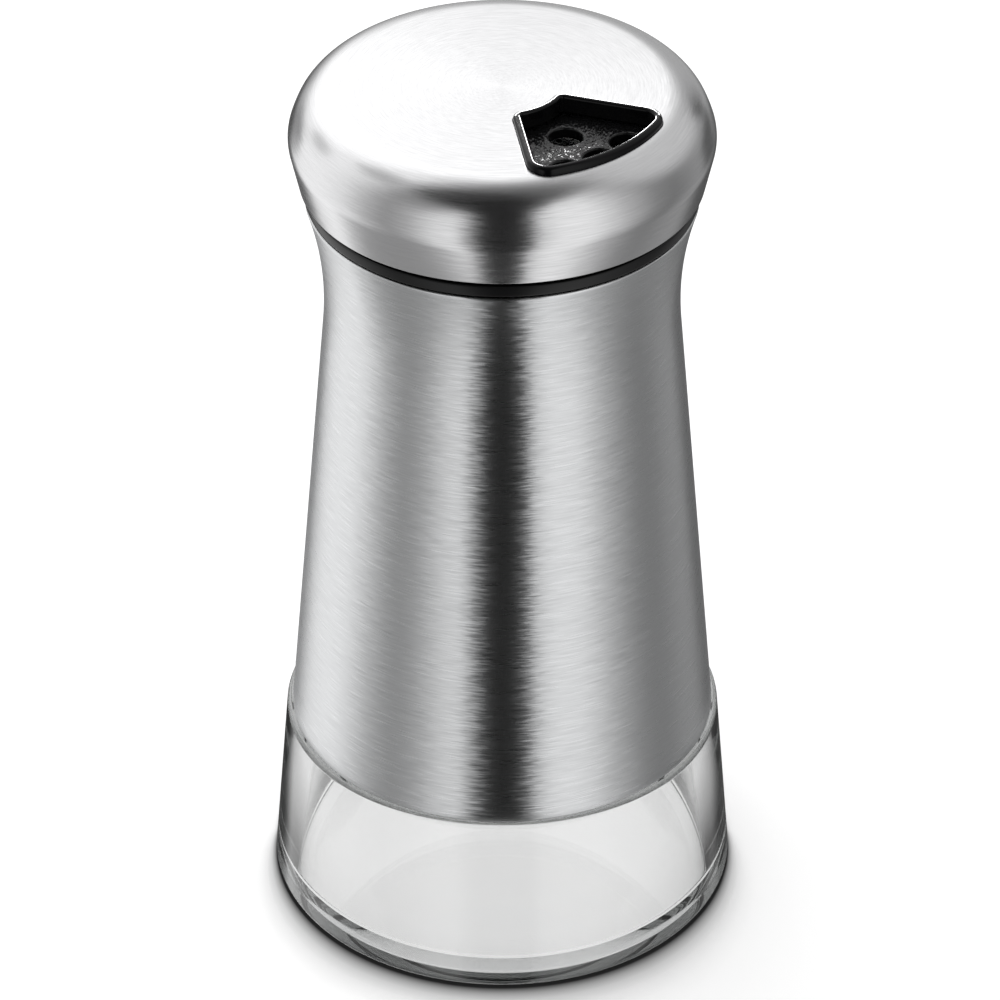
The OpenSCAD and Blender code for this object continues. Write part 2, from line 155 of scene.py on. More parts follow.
def add(tree, kind, sockets=None, **settings):
    """Adds a node. sockets gives inputs, by name or number, a value or a node to join."""
    node = tree.nodes.new(kind)
    for name, value in settings.items():
        setattr(node, name, value)
    for key, value in (sockets or {}).items():
        if isinstance(value, bpy.types.Node):
            value = value.outputs[0]
        if isinstance(value, bpy.types.NodeSocket):
            tree.links.new(value, node.inputs[key])
        else:
            node.inputs[key].default_value = value
    return node


def set_stops(node, stops):
    """Gives a colour ramp its (position, level) stops."""
    elements = node.color_ramp.elements
    while len(elements) < len(stops):
        elements.new(0.5)
    for element, (place, level) in zip(elements, stops):
        element.position = place
        element.color = grey(level)


def new_material(name):
    """An empty material, and its node tree."""
    material = bpy.data.materials.new(name)
    material.use_nodes = True
    material.node_tree.nodes.clear()
    return material, material.node_tree


print(f"#808080 is {linear('#808080')[0]:.3f} in linear light")

# %% [markdown]
# ## Studio
#
# Brushed metal shows little of its own colour: what the eye reads as steel is the room around
# it. A product studio stands white panels and black flags round a metal piece. Here the world
# holds them, for glossy rays only. A ramp over the direction round the shaker gives the panels,
# and soft discs add the ceiling, a strong lamp and the dark flags. The camera and the glass
# see plain white, and matt surfaces get an even, plain light.

# %% Panels and flags that the metal sees
PANELS = [
    # turn, level
    (-180, 0.40), (-157, 0.34), (-140, 0.85), (-125, 1.0), (-103, 1.0), (-88, 0.85),
    (-74, 0.50), (-62, 0.30), (-50, 0.42), (-34, 0.82), (-24, 0.90), (-15, 0.20), (-10, 0.015),
    (9.5, 0.012), (14, 0.06), (20, 0.74), (30, 0.94), (47, 0.92), (66, 0.50), (84, 0.24),
    (98, 0.18), (118, 0.28), (150, 0.34),
]
PANEL_LEVEL = 1.25
DISCS = [
    # turn, rise, whole within, gone beyond, level
    (120, 38, 14, 40, 0.75),
    (-163, 36, 14, 39, 1.70),
    (0, 76, 14, 34, 0.16),
    (-46, 42, 6, 24, 0.35),
    (30, 68, 6, 20, 0.10),
    (-98, 52, 4, 15, 0.55),
    (-122, 20, 3, 12, 0.70),
    (-28, 64, 12, 28, 0.03),
    (-4, 51, 16, 26, 0.015),
    (-163, -28, 9, 24, 0.06),
    (163, -36, 9, 24, 0.08),
    (-141, -8, 4, 14, 0.30),
    (150, 8, 5, 15, 0.06),
    (138, -14, 5, 15, 0.10),
    (-82, -62, 12, 30, 0.35),
    (168, 8, 8, 26, 0.50),
]
print(f"{len(PANELS)} panel stops and {len(DISCS)} discs")

# %% [markdown]
# A turn round the shaker places a panel, and a turn and a rise place a disc. Turn 0 is on the
# camera's side, and the rise goes up from level. The dot product of two directions tells how
# far they are apart, and a smooth step over it gives a disc its soft edge.


# %% Directions and soft discs
def direction(turn, rise):
    """Unit vector seen from the shaker: turn 0 is the camera's side, rise is above level."""
    t, e = math.radians(turn), math.radians(rise)
    return (math.sin(t) * math.cos(e), -math.cos(t) * math.cos(e), math.sin(e))


def soft_disc(tree, vector, towards, inner, outer):
    """1 within the angle inner of a direction, and 0 beyond the angle outer."""
    dot = add(tree, "ShaderNodeVectorMath", {0: vector, 1: towards}, operation="DOT_PRODUCT")
    return add(tree, "ShaderNodeMapRange",
               {"Value": dot.outputs["Value"], "From Min": math.cos(math.radians(outer)),
                "From Max": math.cos(math.radians(inner))}, interpolation_type="SMOOTHSTEP")


print("straight up is", [round(v, 3) for v in direction(0, 90)])

# %% [markdown]
# A world has a colour for every direction. Its coordinates are first turned with the camera.
# The arc tangent of two of them is the turn, which picks a level from the ramp of panels, and
# then each disc is mixed over what lies below it. A mix node has several sockets of each name,
# one for each kind of value, so those for colours are called by their number.

# %% The room that the steel shows
MIX_FACTOR, MIX_FIRST, MIX_SECOND = 0, 6, 7
MIX_COLOUR = 2

world = bpy.data.worlds.new("studio")
bpy.context.scene.world = world
world.use_nodes = True
world.cycles.sampling_method = "NONE"
tree = world.node_tree
tree.nodes.clear()
coords = add(tree, "ShaderNodeTexCoord")
turned = add(tree, "ShaderNodeVectorRotate",
             {"Vector": coords.outputs["Generated"], "Angle": -CAMERA_TURN},
             rotation_type="Z_AXIS")
xyz = add(tree, "ShaderNodeSeparateXYZ", {0: turned})
nearness = add(tree, "ShaderNodeMath", {0: xyz.outputs["Y"], 1: -1}, operation="MULTIPLY")
turn = add(tree, "ShaderNodeMath", {0: xyz.outputs["X"], 1: nearness}, operation="ARCTAN2")
share = add(tree, "ShaderNodeMapRange",
            {"Value": turn, "From Min": -math.pi, "From Max": math.pi})
studio = add(tree, "ShaderNodeValToRGB", {"Fac": share})
set_stops(studio, [((a + 180) / 360, PANEL_LEVEL * level) for a, level in PANELS])
for turn_deg, rise_deg, inner, outer, level in DISCS:
    disc = soft_disc(tree, turned, direction(turn_deg, rise_deg), inner, outer)
    mixed = add(tree, "ShaderNodeMix",
                {MIX_FACTOR: disc, MIX_FIRST: studio, MIX_SECOND: grey(level)},
                data_type="RGBA")
    studio = mixed.outputs[MIX_COLOUR]
print(len(tree.nodes), "nodes make the room")

# %% [markdown]
# Only reflections show this room. The Light Path node tells the kinds of ray apart, so that
# the camera and the glass get plain white instead, which keeps the ground of the picture
# clean, and matt surfaces get one even level.

# %% What each kind of ray sees of the world
WHITE = grey(1)
MATT_LEVEL = 0.8

light_path = add(tree, "ShaderNodeLightPath")
seen = WHITE
for ray, view in [("Is Diffuse Ray", grey(MATT_LEVEL)), ("Is Glossy Ray", studio),
                  ("Is Transmission Ray", WHITE)]:
    mixed = add(tree, "ShaderNodeMix",
                {MIX_FACTOR: light_path.outputs[ray], MIX_FIRST: seen, MIX_SECOND: view},
                data_type="RGBA")
    seen = mixed.outputs[MIX_COLOUR]
sky = add(tree, "ShaderNodeBackground", {"Color": seen, "Strength": 1})
add(tree, "ShaderNodeOutputWorld", {"Surface": sky})
print("even level for matt surfaces:", MATT_LEVEL)

# %% [markdown]
# ## Lamps
#
# Two softboxes give the matt pieces a direction of light and the floor a soft shadow. With the
# even light of the world they add up to a plain level, at which a colour looks as written.
# They show neither through the glass, where a lamp only leaves a patch of noise, nor in the
# steel, where their square would burn a hard-edged patch into the crown. Light that is caught
# inside clear glass bounces many times, so the paths may be long.

# %% Lamps
SOFTBOXES = [
    # turn, rise, distance in m, size in m, power in W
    (-152, 60, 1.1, 0.50, 1.4),
    (-115, 50, 1.1, 0.40, 1.2),
]
LONGEST_PATH = 24


def area_lamp(name, turn, rise, distance, size, power, aim_z=0.0):
    """A lamp that shines at a height on the axis. size is its width and its height in m."""
    lamp_data = bpy.data.lights.new(name, "AREA")
    lamp_data.shape = "RECTANGLE"
    lamp_data.size, lamp_data.size_y = size
    lamp_data.energy = power
    lamp = bpy.data.objects.new(name, lamp_data)
    outwards = Vector(direction(turn + math.degrees(CAMERA_TURN), rise))
    lamp.location = outwards * distance + Vector((0, 0, aim_z))
    lamp.rotation_mode = "QUATERNION"
    lamp.rotation_quaternion = outwards.to_track_quat("Z", "Y")
    lamp.visible_transmission = False
    bpy.context.scene.collection.objects.link(lamp)
    return lamp


for number, (turn_deg, rise_deg, distance, size, power) in enumerate(SOFTBOXES):
    softbox = area_lamp(f"softbox_{number}", turn_deg, rise_deg, distance, (size, size), power)
    softbox.visible_glossy = False
paths = bpy.context.scene.cycles
paths.max_bounces = paths.glossy_bounces = paths.transmission_bounces = LONGEST_PATH
print(len(SOFTBOXES), "softboxes")

# %% [markdown]
# ## Floor
#
# A plain pale sheet. It is matt under the lamps, so it keeps the shadow of the shaker, and a
# little light of its own brings the open sheet to white. The metal sees the studio in its
# place. It lies a hair below the glass, as a real sheet does: where glass and sheet share one
# plane, no light is caught in the foot of the jar, and its dark rim is lost.

# %% Floor
FLOOR_M = 4.0
FLOOR_GAP = 0.05

bpy.ops.object.select_all(action="DESELECT")
bpy.ops.mesh.primitive_plane_add(size=FLOOR_M, location=(0, 0, -FLOOR_GAP * MM))
floor = bpy.context.object
floor.name = "floor"
floor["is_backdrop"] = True
floor.visible_glossy = False
paper, tree = new_material("white_paper_sheet")
paper.cycles.emission_sampling = "NONE"
floor.data.materials.append(paper)
print(f"floor {FLOOR_M} m wide, {FLOOR_GAP} mm below the jar")

# %% [markdown]
# Light passes through the jar, so the render leaves out the narrow, dark shadow that a heel of
# glass has where it meets the sheet. A ramp over the distance from the heel paints that shadow
# into the sheet's colour and glow: a painted shadow, wide in front of the jar and thin at its
# sides.

# %% The sheet and its painted contact shadow
SHEET_GREY, SHEET_GLOW = 0.88, 0.36
SIDE_MM, FRONT_MM = 1.0, 10.5
SIDE_Y, FRONT_Y = 0.1, -0.8  # of a unit vector out from the axis
CONTACT = [
    # share of the shadow's width, brightness
    (0, 0.02), (0.05, 0.18), (0.12, 0.38), (0.25, 0.64), (0.45, 0.84), (0.7, 0.95), (1, 1),
]

place = add(tree, "ShaderNodeTexCoord")
aligned = add(tree, "ShaderNodeVectorRotate",
              {"Vector": place.outputs["Object"], "Angle": -CAMERA_TURN},
              rotation_type="Z_AXIS")
from_axis = add(tree, "ShaderNodeVectorMath", {0: aligned}, operation="LENGTH")
from_heel = add(tree, "ShaderNodeMath", {0: from_axis.outputs["Value"], 1: jar_r * MM},
                operation="SUBTRACT")
outward = add(tree, "ShaderNodeVectorMath", {0: aligned}, operation="NORMALIZE")
outward_xyz = add(tree, "ShaderNodeSeparateXYZ", {0: outward})
width = add(tree, "ShaderNodeMapRange",
            {"Value": outward_xyz.outputs["Y"], "From Min": SIDE_Y, "From Max": FRONT_Y,
             "To Min": SIDE_MM * MM, "To Max": FRONT_MM * MM})
share = add(tree, "ShaderNodeMath", {0: from_heel, 1: width}, operation="DIVIDE")
# painted shadow: this ramp darkens both the sheet's colour and its glow near the heel
painted_contact_shadow = add(tree, "ShaderNodeValToRGB", {"Fac": share})
set_stops(painted_contact_shadow, CONTACT)
shaded = add(tree, "ShaderNodeVectorMath", {0: painted_contact_shadow, "Scale": SHEET_GREY},
             operation="SCALE")
matt = add(tree, "ShaderNodeBsdfDiffuse", {"Color": shaded})
glow = add(tree, "ShaderNodeEmission", {"Color": painted_contact_shadow, "Strength": SHEET_GLOW})
lit = add(tree, "ShaderNodeAddShader", {0: matt, 1: glow})
print(f"contact shadow {SIDE_MM} mm wide at the sides and {FRONT_MM} mm in front")

# %% [markdown]
# The jar's own glass shows the sheet too. Under the jar it is bright, and round the jar lies a
# painted dark ring, a painted shade that stands for the shade of steel and lid and that only
# rays
# through the glass see: its image in the curved walls draws the edges of the clear glass. From
# below, the sheet is see-through, so that the underside can be looked at.

# %% What each kind of ray sees of the floor
PAINTED_RING_MM = 20.0
RING = [
    # share of the ring's width, brightness
    (0, 1), (0.03, 1), (0.05, 0.03), (0.22, 0.05), (0.5, 0.5), (0.9, 1),
]

ring_share = add(tree, "ShaderNodeMath", {0: from_heel, 1: PAINTED_RING_MM * MM}, operation="DIVIDE")
# painted shade: a dark ring round the heel, shown only to rays that come through the glass
ring = add(tree, "ShaderNodeValToRGB", {"Fac": ring_share})
set_stops(ring, RING)
sheet_with_painted_ring = add(tree, "ShaderNodeEmission", {"Color": ring})
plain_sheet = add(tree, "ShaderNodeBsdfDiffuse", {"Color": grey(SHEET_GREY)})
light_path = add(tree, "ShaderNodeLightPath")
through = add(tree, "ShaderNodeMixShader",
              {0: light_path.outputs["Is Transmission Ray"], 1: lit, 2: sheet_with_painted_ring})
plain = add(tree, "ShaderNodeMixShader",
            {0: light_path.outputs["Is Diffuse Ray"], 1: through, 2: plain_sheet})
side = add(tree, "ShaderNodeNewGeometry")
see_through = add(tree, "ShaderNodeBsdfTransparent")
one_sided = add(tree, "ShaderNodeMixShader",
                {0: side.outputs["Backfacing"], 1: plain, 2: see_through})
add(tree, "ShaderNodeOutputMaterial", {"Surface": one_sided})
print(f"ring {PAINTED_RING_MM} mm wide in the glass")

# %% [markdown]
# ## Brushed steel
#
# The sleeve is stainless sheet, drawn to shape and brushed round its axis. The brush leaves
# fine grooves, which spread reflections across the grooves, so bright and dark bands run up
# the sleeve. Anisotropic roughness along the axis gives the spread. Streak noise, stretched
# round the axis, gives grooves of slightly different tone and lets the edges of the bands
# fray, as on real brushed sheet. Real grooves are a few hundredths of a millimetre wide and
# would melt together, so they are drawn several times as coarse.

# %% Brush grooves shared by sleeve and cap
GROOVE_DETAIL, GROOVE_FINENESS = 2.0, 0.6


def brush_grooves(tree, across_mm, streaks):
    """Noise in grooves round the Z axis. streaks is how many follow each other in a radian."""
    place = add(tree, "ShaderNodeTexCoord")
    xyz = add(tree, "ShaderNodeSeparateXYZ", {0: place.outputs["Object"]})
    flat = add(tree, "ShaderNodeCombineXYZ", {"X": xyz.outputs["X"], "Y": xyz.outputs["Y"]})
    radius = add(tree, "ShaderNodeVectorMath", {0: flat}, operation="LENGTH")
    outward = add(tree, "ShaderNodeVectorMath", {0: flat}, operation="NORMALIZE")
    # radius less height grows steadily out over the crown and down the flank
    run = add(tree, "ShaderNodeMath", {0: radius.outputs["Value"], 1: xyz.outputs["Z"]},
              operation="SUBTRACT")
    fine = add(tree, "ShaderNodeMath", {0: run, 1: 1 / (across_mm * MM)}, operation="MULTIPLY")
    slow = add(tree, "ShaderNodeVectorMath", {0: outward, "Scale": streaks}, operation="SCALE")
    slow_xyz = add(tree, "ShaderNodeSeparateXYZ", {0: slow})
    where = add(tree, "ShaderNodeCombineXYZ",
                {"X": slow_xyz.outputs["X"], "Y": slow_xyz.outputs["Y"], "Z": fine})
    return add(tree, "ShaderNodeTexNoise",
               {"Vector": where, "Scale": 1, "Detail": GROOVE_DETAIL,
                "Roughness": GROOVE_FINENESS})


def tilted_normal(tree, push):
    """The surface's own normal, leaned over by a small vector."""
    surface = add(tree, "ShaderNodeNewGeometry")
    pushed = add(tree, "ShaderNodeVectorMath", {0: surface.outputs["Normal"], 1: push},
                 operation="ADD")
    return add(tree, "ShaderNodeVectorMath", {0: pushed}, operation="NORMALIZE")


print(f"groove noise of detail {GROOVE_DETAIL} and roughness {GROOVE_FINENESS}")

# %% [markdown]
# One function makes both steels. The sleeve keeps the plain brushed finish of the sheet. The
# cap is brushed while it spins, with a finer belt, so its bands are sharper and fray less.

# %% Brushed stainless steel
GROOVE_MM, STREAKS = 0.14, 6
WANDER_MM, WANDER_STREAKS = 0.238, 9.6
NOISE_LOW, NOISE_HIGH = 0.3, 0.7  # soft noise seldom leaves this range
WANDER_LOW, WANDER_HIGH = 0.25, 0.75
POLISH_SWING = 0.12
QUARTER_TURN = 0.25


def brushed_steel(name, colour, roughness, spread, tone, fray):
    """Brushed stainless steel. tone varies its colour, and fray tilts its grooves sideways."""
    material, tree = new_material(name)
    grooves = brush_grooves(tree, GROOVE_MM, STREAKS)
    shade = add(tree, "ShaderNodeMapRange",
                {"Value": grooves, "From Min": NOISE_LOW, "From Max": NOISE_HIGH,
                 "To Min": 1 - tone, "To Max": 1 + tone})
    base = add(tree, "ShaderNodeVectorMath", {0: linear(colour)[:3], "Scale": shade},
               operation="SCALE")
    rough = add(tree, "ShaderNodeMapRange",
                {"Value": grooves, "From Min": NOISE_LOW, "From Max": NOISE_HIGH,
                 "To Min": roughness * (1 + POLISH_SWING),
                 "To Max": roughness * (1 - POLISH_SWING)})
    wander = brush_grooves(tree, WANDER_MM, WANDER_STREAKS)
    sideways = add(tree, "ShaderNodeTangent", direction_type="RADIAL", axis="Z")
    tilt = add(tree, "ShaderNodeMapRange",
               {"Value": wander, "From Min": WANDER_LOW, "From Max": WANDER_HIGH,
                "To Min": -fray, "To Max": fray})
    push = add(tree, "ShaderNodeVectorMath", {0: sideways, "Scale": tilt}, operation="SCALE")
    steel = add(tree, "ShaderNodeBsdfPrincipled",
                {"Base Color": base, "Metallic": 1.0, "Roughness": rough,
                 "Anisotropic": spread, "Anisotropic Rotation": QUARTER_TURN,
                 "Normal": tilted_normal(tree, push), "Tangent": sideways})
    add(tree, "ShaderNodeOutputMaterial", {"Surface": steel})
    return material


sleeve_steel = brushed_steel("brushed_stainless_sheet", "#cfd0d1", roughness=0.30,
                             spread=0.95, tone=0.07, fray=0.035)
cap_steel = brushed_steel("spun_brushed_stainless", "#d2d2d3", roughness=0.23,
                          spread=0.70, tone=0.05, fray=0.015)
print("steels:", sleeve_steel.name, cap_steel.name)

# %% [markdown]
# ## Clear glass
#
# Pressed soda-lime glass. Its surface is smooth, and what shows it is refraction: its walls
# bend the light of the room. The glass itself swallows a little light on the way. That greys a
# thin wall only slightly, but light caught in the floor travels right across the jar, and the
# rim of the foot turns dark, as on a real tumbler.

# %% Clear glass
GLASS_IOR = 1.52
GLASS_TINT, GLASS_DENSITY = "#8d908f", 44.0

clear_glass, tree = new_material("clear_soda_lime_glass")
surface = add(tree, "ShaderNodeBsdfPrincipled",
              {"Base Color": WHITE, "Roughness": 0.0, "IOR": GLASS_IOR,
               "Transmission Weight": 1.0})
inside = add(tree, "ShaderNodeVolumeAbsorption",
             {"Color": linear(GLASS_TINT), "Density": GLASS_DENSITY})
add(tree, "ShaderNodeOutputMaterial", {"Surface": surface, "Volume": inside})
print(clear_glass.name)

# %% [markdown]
# ## Plastics
#
# The selector is glossy black ABS. A polished mould gives sharp, thin lines of light, and the
# slow waves that the plastic leaves as it shrinks bend them a little. Soft noise draws both:
# one pattern moves the roughness, and another is a bump map about 0.02 mm deep.

# %% Unevenness, and polished ABS
ABS_BLACK = "#0a0a0b"
GLOSS_SPECULAR = 0.15


def dents(tree, size_mm, depth_mm):
    """A bump map of soft noise."""
    place = add(tree, "ShaderNodeTexCoord")
    height = add(tree, "ShaderNodeTexNoise", {"Vector": place.outputs["Object"],
                                              "Scale": 1 / (size_mm * MM), "Detail": 2.0})
    return add(tree, "ShaderNodeBump", {"Strength": 1.0, "Distance": depth_mm * MM,
                                        "Height": height})


def patchy(tree, size_mm, low, high):
    """A level that wanders between low and high in soft patches."""
    place = add(tree, "ShaderNodeTexCoord")
    noise = add(tree, "ShaderNodeTexNoise", {"Vector": place.outputs["Object"],
                                             "Scale": 1 / (size_mm * MM), "Detail": 3.0})
    return add(tree, "ShaderNodeMapRange",
               {"Value": noise, "From Min": NOISE_LOW, "From Max": NOISE_HIGH,
                "To Min": low, "To Max": high})


black_gloss, tree = new_material("black_abs_polished_mould")
shader = add(tree, "ShaderNodeBsdfPrincipled",
             {"Base Color": linear(ABS_BLACK), "Specular IOR Level": GLOSS_SPECULAR,
              "Roughness": patchy(tree, size_mm=3, low=0.07, high=0.13),
              "Normal": dents(tree, size_mm=4, depth_mm=0.02)})
add(tree, "ShaderNodeOutputMaterial", {"Surface": shader})
print(black_gloss.name)

# %% [markdown]
# The base is the same plastic from a plainer mould, but the top of its disc comes from a
# spark-eroded mould face, whose craters glitter against the light. Each cell of a Voronoi
# pattern leans its own way, which makes such facets without any geometry. A real grain of that
# kind is about 0.1 mm. It is drawn coarser, because the finer one would melt into an even grey.

# %% Spark-eroded ABS
SATIN_SPECULAR = 0.3
SATIN_ROUGH, DISC_ROUGH = 0.3, 0.16
GRAIN_MM, GRAIN_TILT = 0.17, 0.32
GRAIN_DEEP = 0.1  # mm below its top to which the disc is grained

black_satin, tree = new_material("black_abs_spark_eroded")
place = add(tree, "ShaderNodeTexCoord")
xyz = add(tree, "ShaderNodeSeparateXYZ", {0: place.outputs["Object"]})
on_disc = add(tree, "ShaderNodeMath",
              {0: xyz.outputs["Z"], 1: (top_of("sifter_base") - GRAIN_DEEP) * MM},
              operation="GREATER_THAN")
craters = add(tree, "ShaderNodeTexVoronoi", {"Vector": place.outputs["Object"],
                                             "Scale": 1 / (GRAIN_MM * MM)})
lean = add(tree, "ShaderNodeVectorMath", {0: craters.outputs["Color"], 1: (0.5, 0.5, 0.5)},
           operation="SUBTRACT")
steep = add(tree, "ShaderNodeMath", {0: on_disc, 1: GRAIN_TILT}, operation="MULTIPLY")
push = add(tree, "ShaderNodeVectorMath", {0: lean, "Scale": steep}, operation="SCALE")
rough = add(tree, "ShaderNodeMapRange",
            {"Value": on_disc, "To Min": SATIN_ROUGH, "To Max": DISC_ROUGH})
shader = add(tree, "ShaderNodeBsdfPrincipled",
             {"Base Color": linear(ABS_BLACK), "Roughness": rough,
              "Specular IOR Level": SATIN_SPECULAR, "Normal": tilted_normal(tree, push)})
add(tree, "ShaderNodeOutputMaterial", {"Surface": shader})
print(black_satin.name, "with a grain of", GRAIN_MM, "mm")

# %% [markdown]
# ## Hidden parts
#
# Silicone is milky and matt, with a dusty bloom. Cured adhesive is smooth but lumpy, where it
# ran. Zinc plate is bright with faint cloudy patches left by the bath, and the spring is plain
# ground steel, darker and duller.

# %% Silicone, adhesive and small steel parts
silicone, tree = new_material("translucent_silicone")
shader = add(tree, "ShaderNodeBsdfPrincipled",
             {"Base Color": linear("#c9cccc"),
              "Roughness": patchy(tree, size_mm=1.5, low=0.45, high=0.65),
              "Normal": dents(tree, size_mm=0.6, depth_mm=0.02)})
add(tree, "ShaderNodeOutputMaterial", {"Surface": shader})

adhesive, tree = new_material("cured_clear_adhesive")
shader = add(tree, "ShaderNodeBsdfPrincipled",
             {"Base Color": linear("#e8e4d8"),
              "Roughness": patchy(tree, size_mm=4, low=0.15, high=0.35),
              "Normal": dents(tree, size_mm=2.5, depth_mm=0.15)})
add(tree, "ShaderNodeOutputMaterial", {"Surface": shader})


def bare_metal(name, colour, low, high):
    """A plated or ground metal, whose polish wanders between two roughnesses."""
    material, tree = new_material(name)
    shader = add(tree, "ShaderNodeBsdfPrincipled",
                 {"Base Color": linear(colour), "Metallic": 1.0,
                  "Roughness": patchy(tree, size_mm=1.2, low=low, high=high),
                  "Normal": dents(tree, size_mm=0.4, depth_mm=0.01)})
    add(tree, "ShaderNodeOutputMaterial", {"Surface": shader})
    return material


zinc = bare_metal("bright_zinc_plate", "#c6c9cc", low=0.15, high=0.3)
spring = bare_metal("ground_spring_steel", "#8f9193", low=0.3, high=0.42)
print("hidden:", silicone.name, adhesive.name, zinc.name, spring.name)

# %% [markdown]
# ## The pieces as they come
#
# The seal, the adhesive, the screw, the washer and the spring are hidden in the shaker, so
# their CAD shapes serve as they are. Every CAD piece gets its finish here, also those that are
# modelled anew further on, so that no piece is ever without one.

# %% Finishes
FINISHES = {
    "glass_jar": clear_glass,
    "body_sleeve": sleeve_steel,
    "lower_adhesive_band": adhesive,
    "upper_adhesive_band": adhesive,
    "jar_seal": silicone,
    "sifter_base": black_satin,
    "selector": black_gloss,
    "steel_cap": cap_steel,
    "spindle_screw": zinc,
    "spindle_washer": zinc,
    "disc_spring": spring,
}
for node, finish in FINISHES.items():
    for material_slot in frame["nodes"][node].material_slots:
        material_slot.material = finish
print(len(FINISHES), "pieces finished")

# %% [markdown]
# ## Turning a piece on an axis
#
# Nearly every piece here is round, so it is made as on a lathe: one vertex is extruded along
# the outline of the piece, and the outline is spun round the Z axis. A real edge is never
# knife-sharp, and it is the small rounding that catches a line of light, so each corner of an
# outline carries the radius that the tool or the mould leaves there.

# %% Outlines with rounded corners
ARC_STEPS, CORNER_STEPS = 24, 5


def polar(radius, degrees):
    """The point at a radius and an angle round the origin."""
    return Vector((math.cos(math.radians(degrees)), math.sin(math.radians(degrees)))) * radius


def arc(centre, radius, start, end, steps=ARC_STEPS):
    """Points on an arc from start to end, in degrees."""
    return [Vector(centre) + polar(radius, start + (end - start) * i / steps)
            for i in range(steps + 1)]


def rounded(corners, steps=CORNER_STEPS):
    """Turns (x, y) points and (x, y, rounding) corners into an outline with rounded corners."""
    points = []
    for i, (x, y, *rounding) in enumerate(corners):
        corner = Vector((x, y))
        if not rounding:
            points.append(corner)
            continue
        radius = rounding[0]
        back = (Vector(corners[i - 1][:2]) - corner).normalized()
        ahead = (Vector(corners[(i + 1) % len(corners)][:2]) - corner).normalized()
        half = back.angle(ahead) / 2
        centre = corner + (back + ahead).normalized() * radius / math.sin(half)
        start = corner + back * radius / math.tan(half) - centre
        end = corner + ahead * radius / math.tan(half) - centre
        first = math.degrees(math.atan2(start.y, start.x))
        sweep = (math.degrees(math.atan2(end.y, end.x)) - first + 180) % 360 - 180
        points += arc(centre, radius, first, first + sweep, steps)
    return points


square = rounded([(0, 0, 0.1), (1, 0, 0.1), (1, 1, 0.1), (0, 1, 0.1)])
print("a square with rounded corners has", len(square), "points")

# %% [markdown]
# Spin leaves a seam where the last step meets the first, and a cluster of points at each pole.
# Merging points that lie together closes both. Faces are smoothed up to a limit of angle, so
# that a curve looks smooth and a flat stays flat.

# %% A lathe
LATHE_STEPS = 256
SHARP = math.radians(35)
WELD = 0.0005 * MM


def draw_outline(name, points, closed):
    """Starts a piece: a vertex extruded along 3-D points in metres, left in edit mode."""
    bpy.ops.object.select_all(action="DESELECT")
    bpy.ops.mesh.primitive_plane_add(size=MM)
    bpy.context.object.name = name
    bpy.ops.object.mode_set(mode="EDIT")
    bpy.ops.mesh.select_mode(type="VERT")
    bpy.ops.mesh.select_all(action="SELECT")
    bpy.ops.mesh.merge(type="CENTER")
    bpy.ops.transform.translate(value=points[0])
    for before, after in zip(points, points[1:] + points[:1] * closed):
        bpy.ops.mesh.extrude_vertices_move(TRANSFORM_OT_translate={"value": after - before})
    bpy.ops.mesh.select_all(action="SELECT")
    bpy.ops.mesh.remove_doubles(threshold=WELD)
    return bpy.context.object


def close_up(piece):
    """Welds a piece, turns its faces outwards, and smooths all but its sharp edges."""
    bpy.ops.mesh.select_all(action="SELECT")
    bpy.ops.mesh.remove_doubles(threshold=WELD)
    bpy.ops.mesh.normals_make_consistent(inside=False)
    bpy.ops.object.mode_set(mode="OBJECT")
    bpy.ops.object.shade_smooth_by_angle(angle=SHARP)
    print(f"{piece.name}: {len(piece.data.polygons)} faces")
    return piece


def lathe(name, outline, closed=False, steps=LATHE_STEPS):
    """Spins an outline of (radius, height) points in mm round the Z axis."""
    piece = draw_outline(name, [Vector((r, 0, z)) * MM for r, z in outline], closed)
    bpy.ops.mesh.select_all(action="SELECT")
    bpy.ops.mesh.spin(steps=steps, angle=math.tau, center=(0, 0, 0), axis=(0, 0, 1))
    return close_up(piece)


print("a lathe turns in", LATHE_STEPS, "steps")

# %% [markdown]
# What isn't round, such as the window in the cap, starts as an outline in the level plane that
# is raised into a block. A Boolean modifier then cuts that block out of a round piece, or joins
# it. The exact solver is chosen because it copes with thin walls and faces that nearly touch.

# %% Blocks, and cuts with them
SOLVER = "EXACT"


def block(name, outline, from_z, to_z):
    """Raises a closed outline of (x, y) points in mm into an upright block."""
    piece = draw_outline(name, [Vector((x, y, from_z)) * MM for x, y in outline], True)
    bpy.ops.mesh.edge_face_add()
    bpy.ops.mesh.extrude_region_move(
        TRANSFORM_OT_translate={"value": (0, 0, (to_z - from_z) * MM)})
    return close_up(piece)


def combine(piece, tool, operation):
    """Joins a tool shape to a piece, or cuts it away, and removes the tool."""
    modifier = piece.modifiers.new("combine", "BOOLEAN")
    modifier.operation = operation
    modifier.solver = SOLVER
    modifier.object = tool
    bpy.ops.object.select_all(action="DESELECT")
    bpy.context.view_layer.objects.active = piece
    piece.select_set(True)
    bpy.ops.object.modifier_apply(modifier=modifier.name)
    bpy.data.objects.remove(tool)
    bpy.ops.object.mode_set(mode="EDIT")
    return close_up(piece)


print("cuts use the solver", SOLVER)

# %% [markdown]
# A finished piece takes the place of a CAD node, which is hidden: it rides on the same body,
# and it gets the finish that is passed with it.


def dress(piece, node, body, finish):
    """Puts a finished piece in place of a CAD node."""
    piece.data.materials.clear()
    piece.data.materials.append(finish)
    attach(piece, body)
    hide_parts(node)


# %% [markdown]
# ## Steel sleeve
#
# Half-millimetre stainless sheet, drawn into a cone that flares above its waist like the bell
# of a horn. The cut edges are deburred, which leaves a radius of about 0.2 mm. A faceted sheet
# would break its long reflections, so the flare gets many short steps.

# %% Sleeve
SHEET = 0.5
EDGE_ROUND = 0.2
WAIST_Z, WAIST_R = 88.1, 23.65
FLARE_ROUND = 51.0

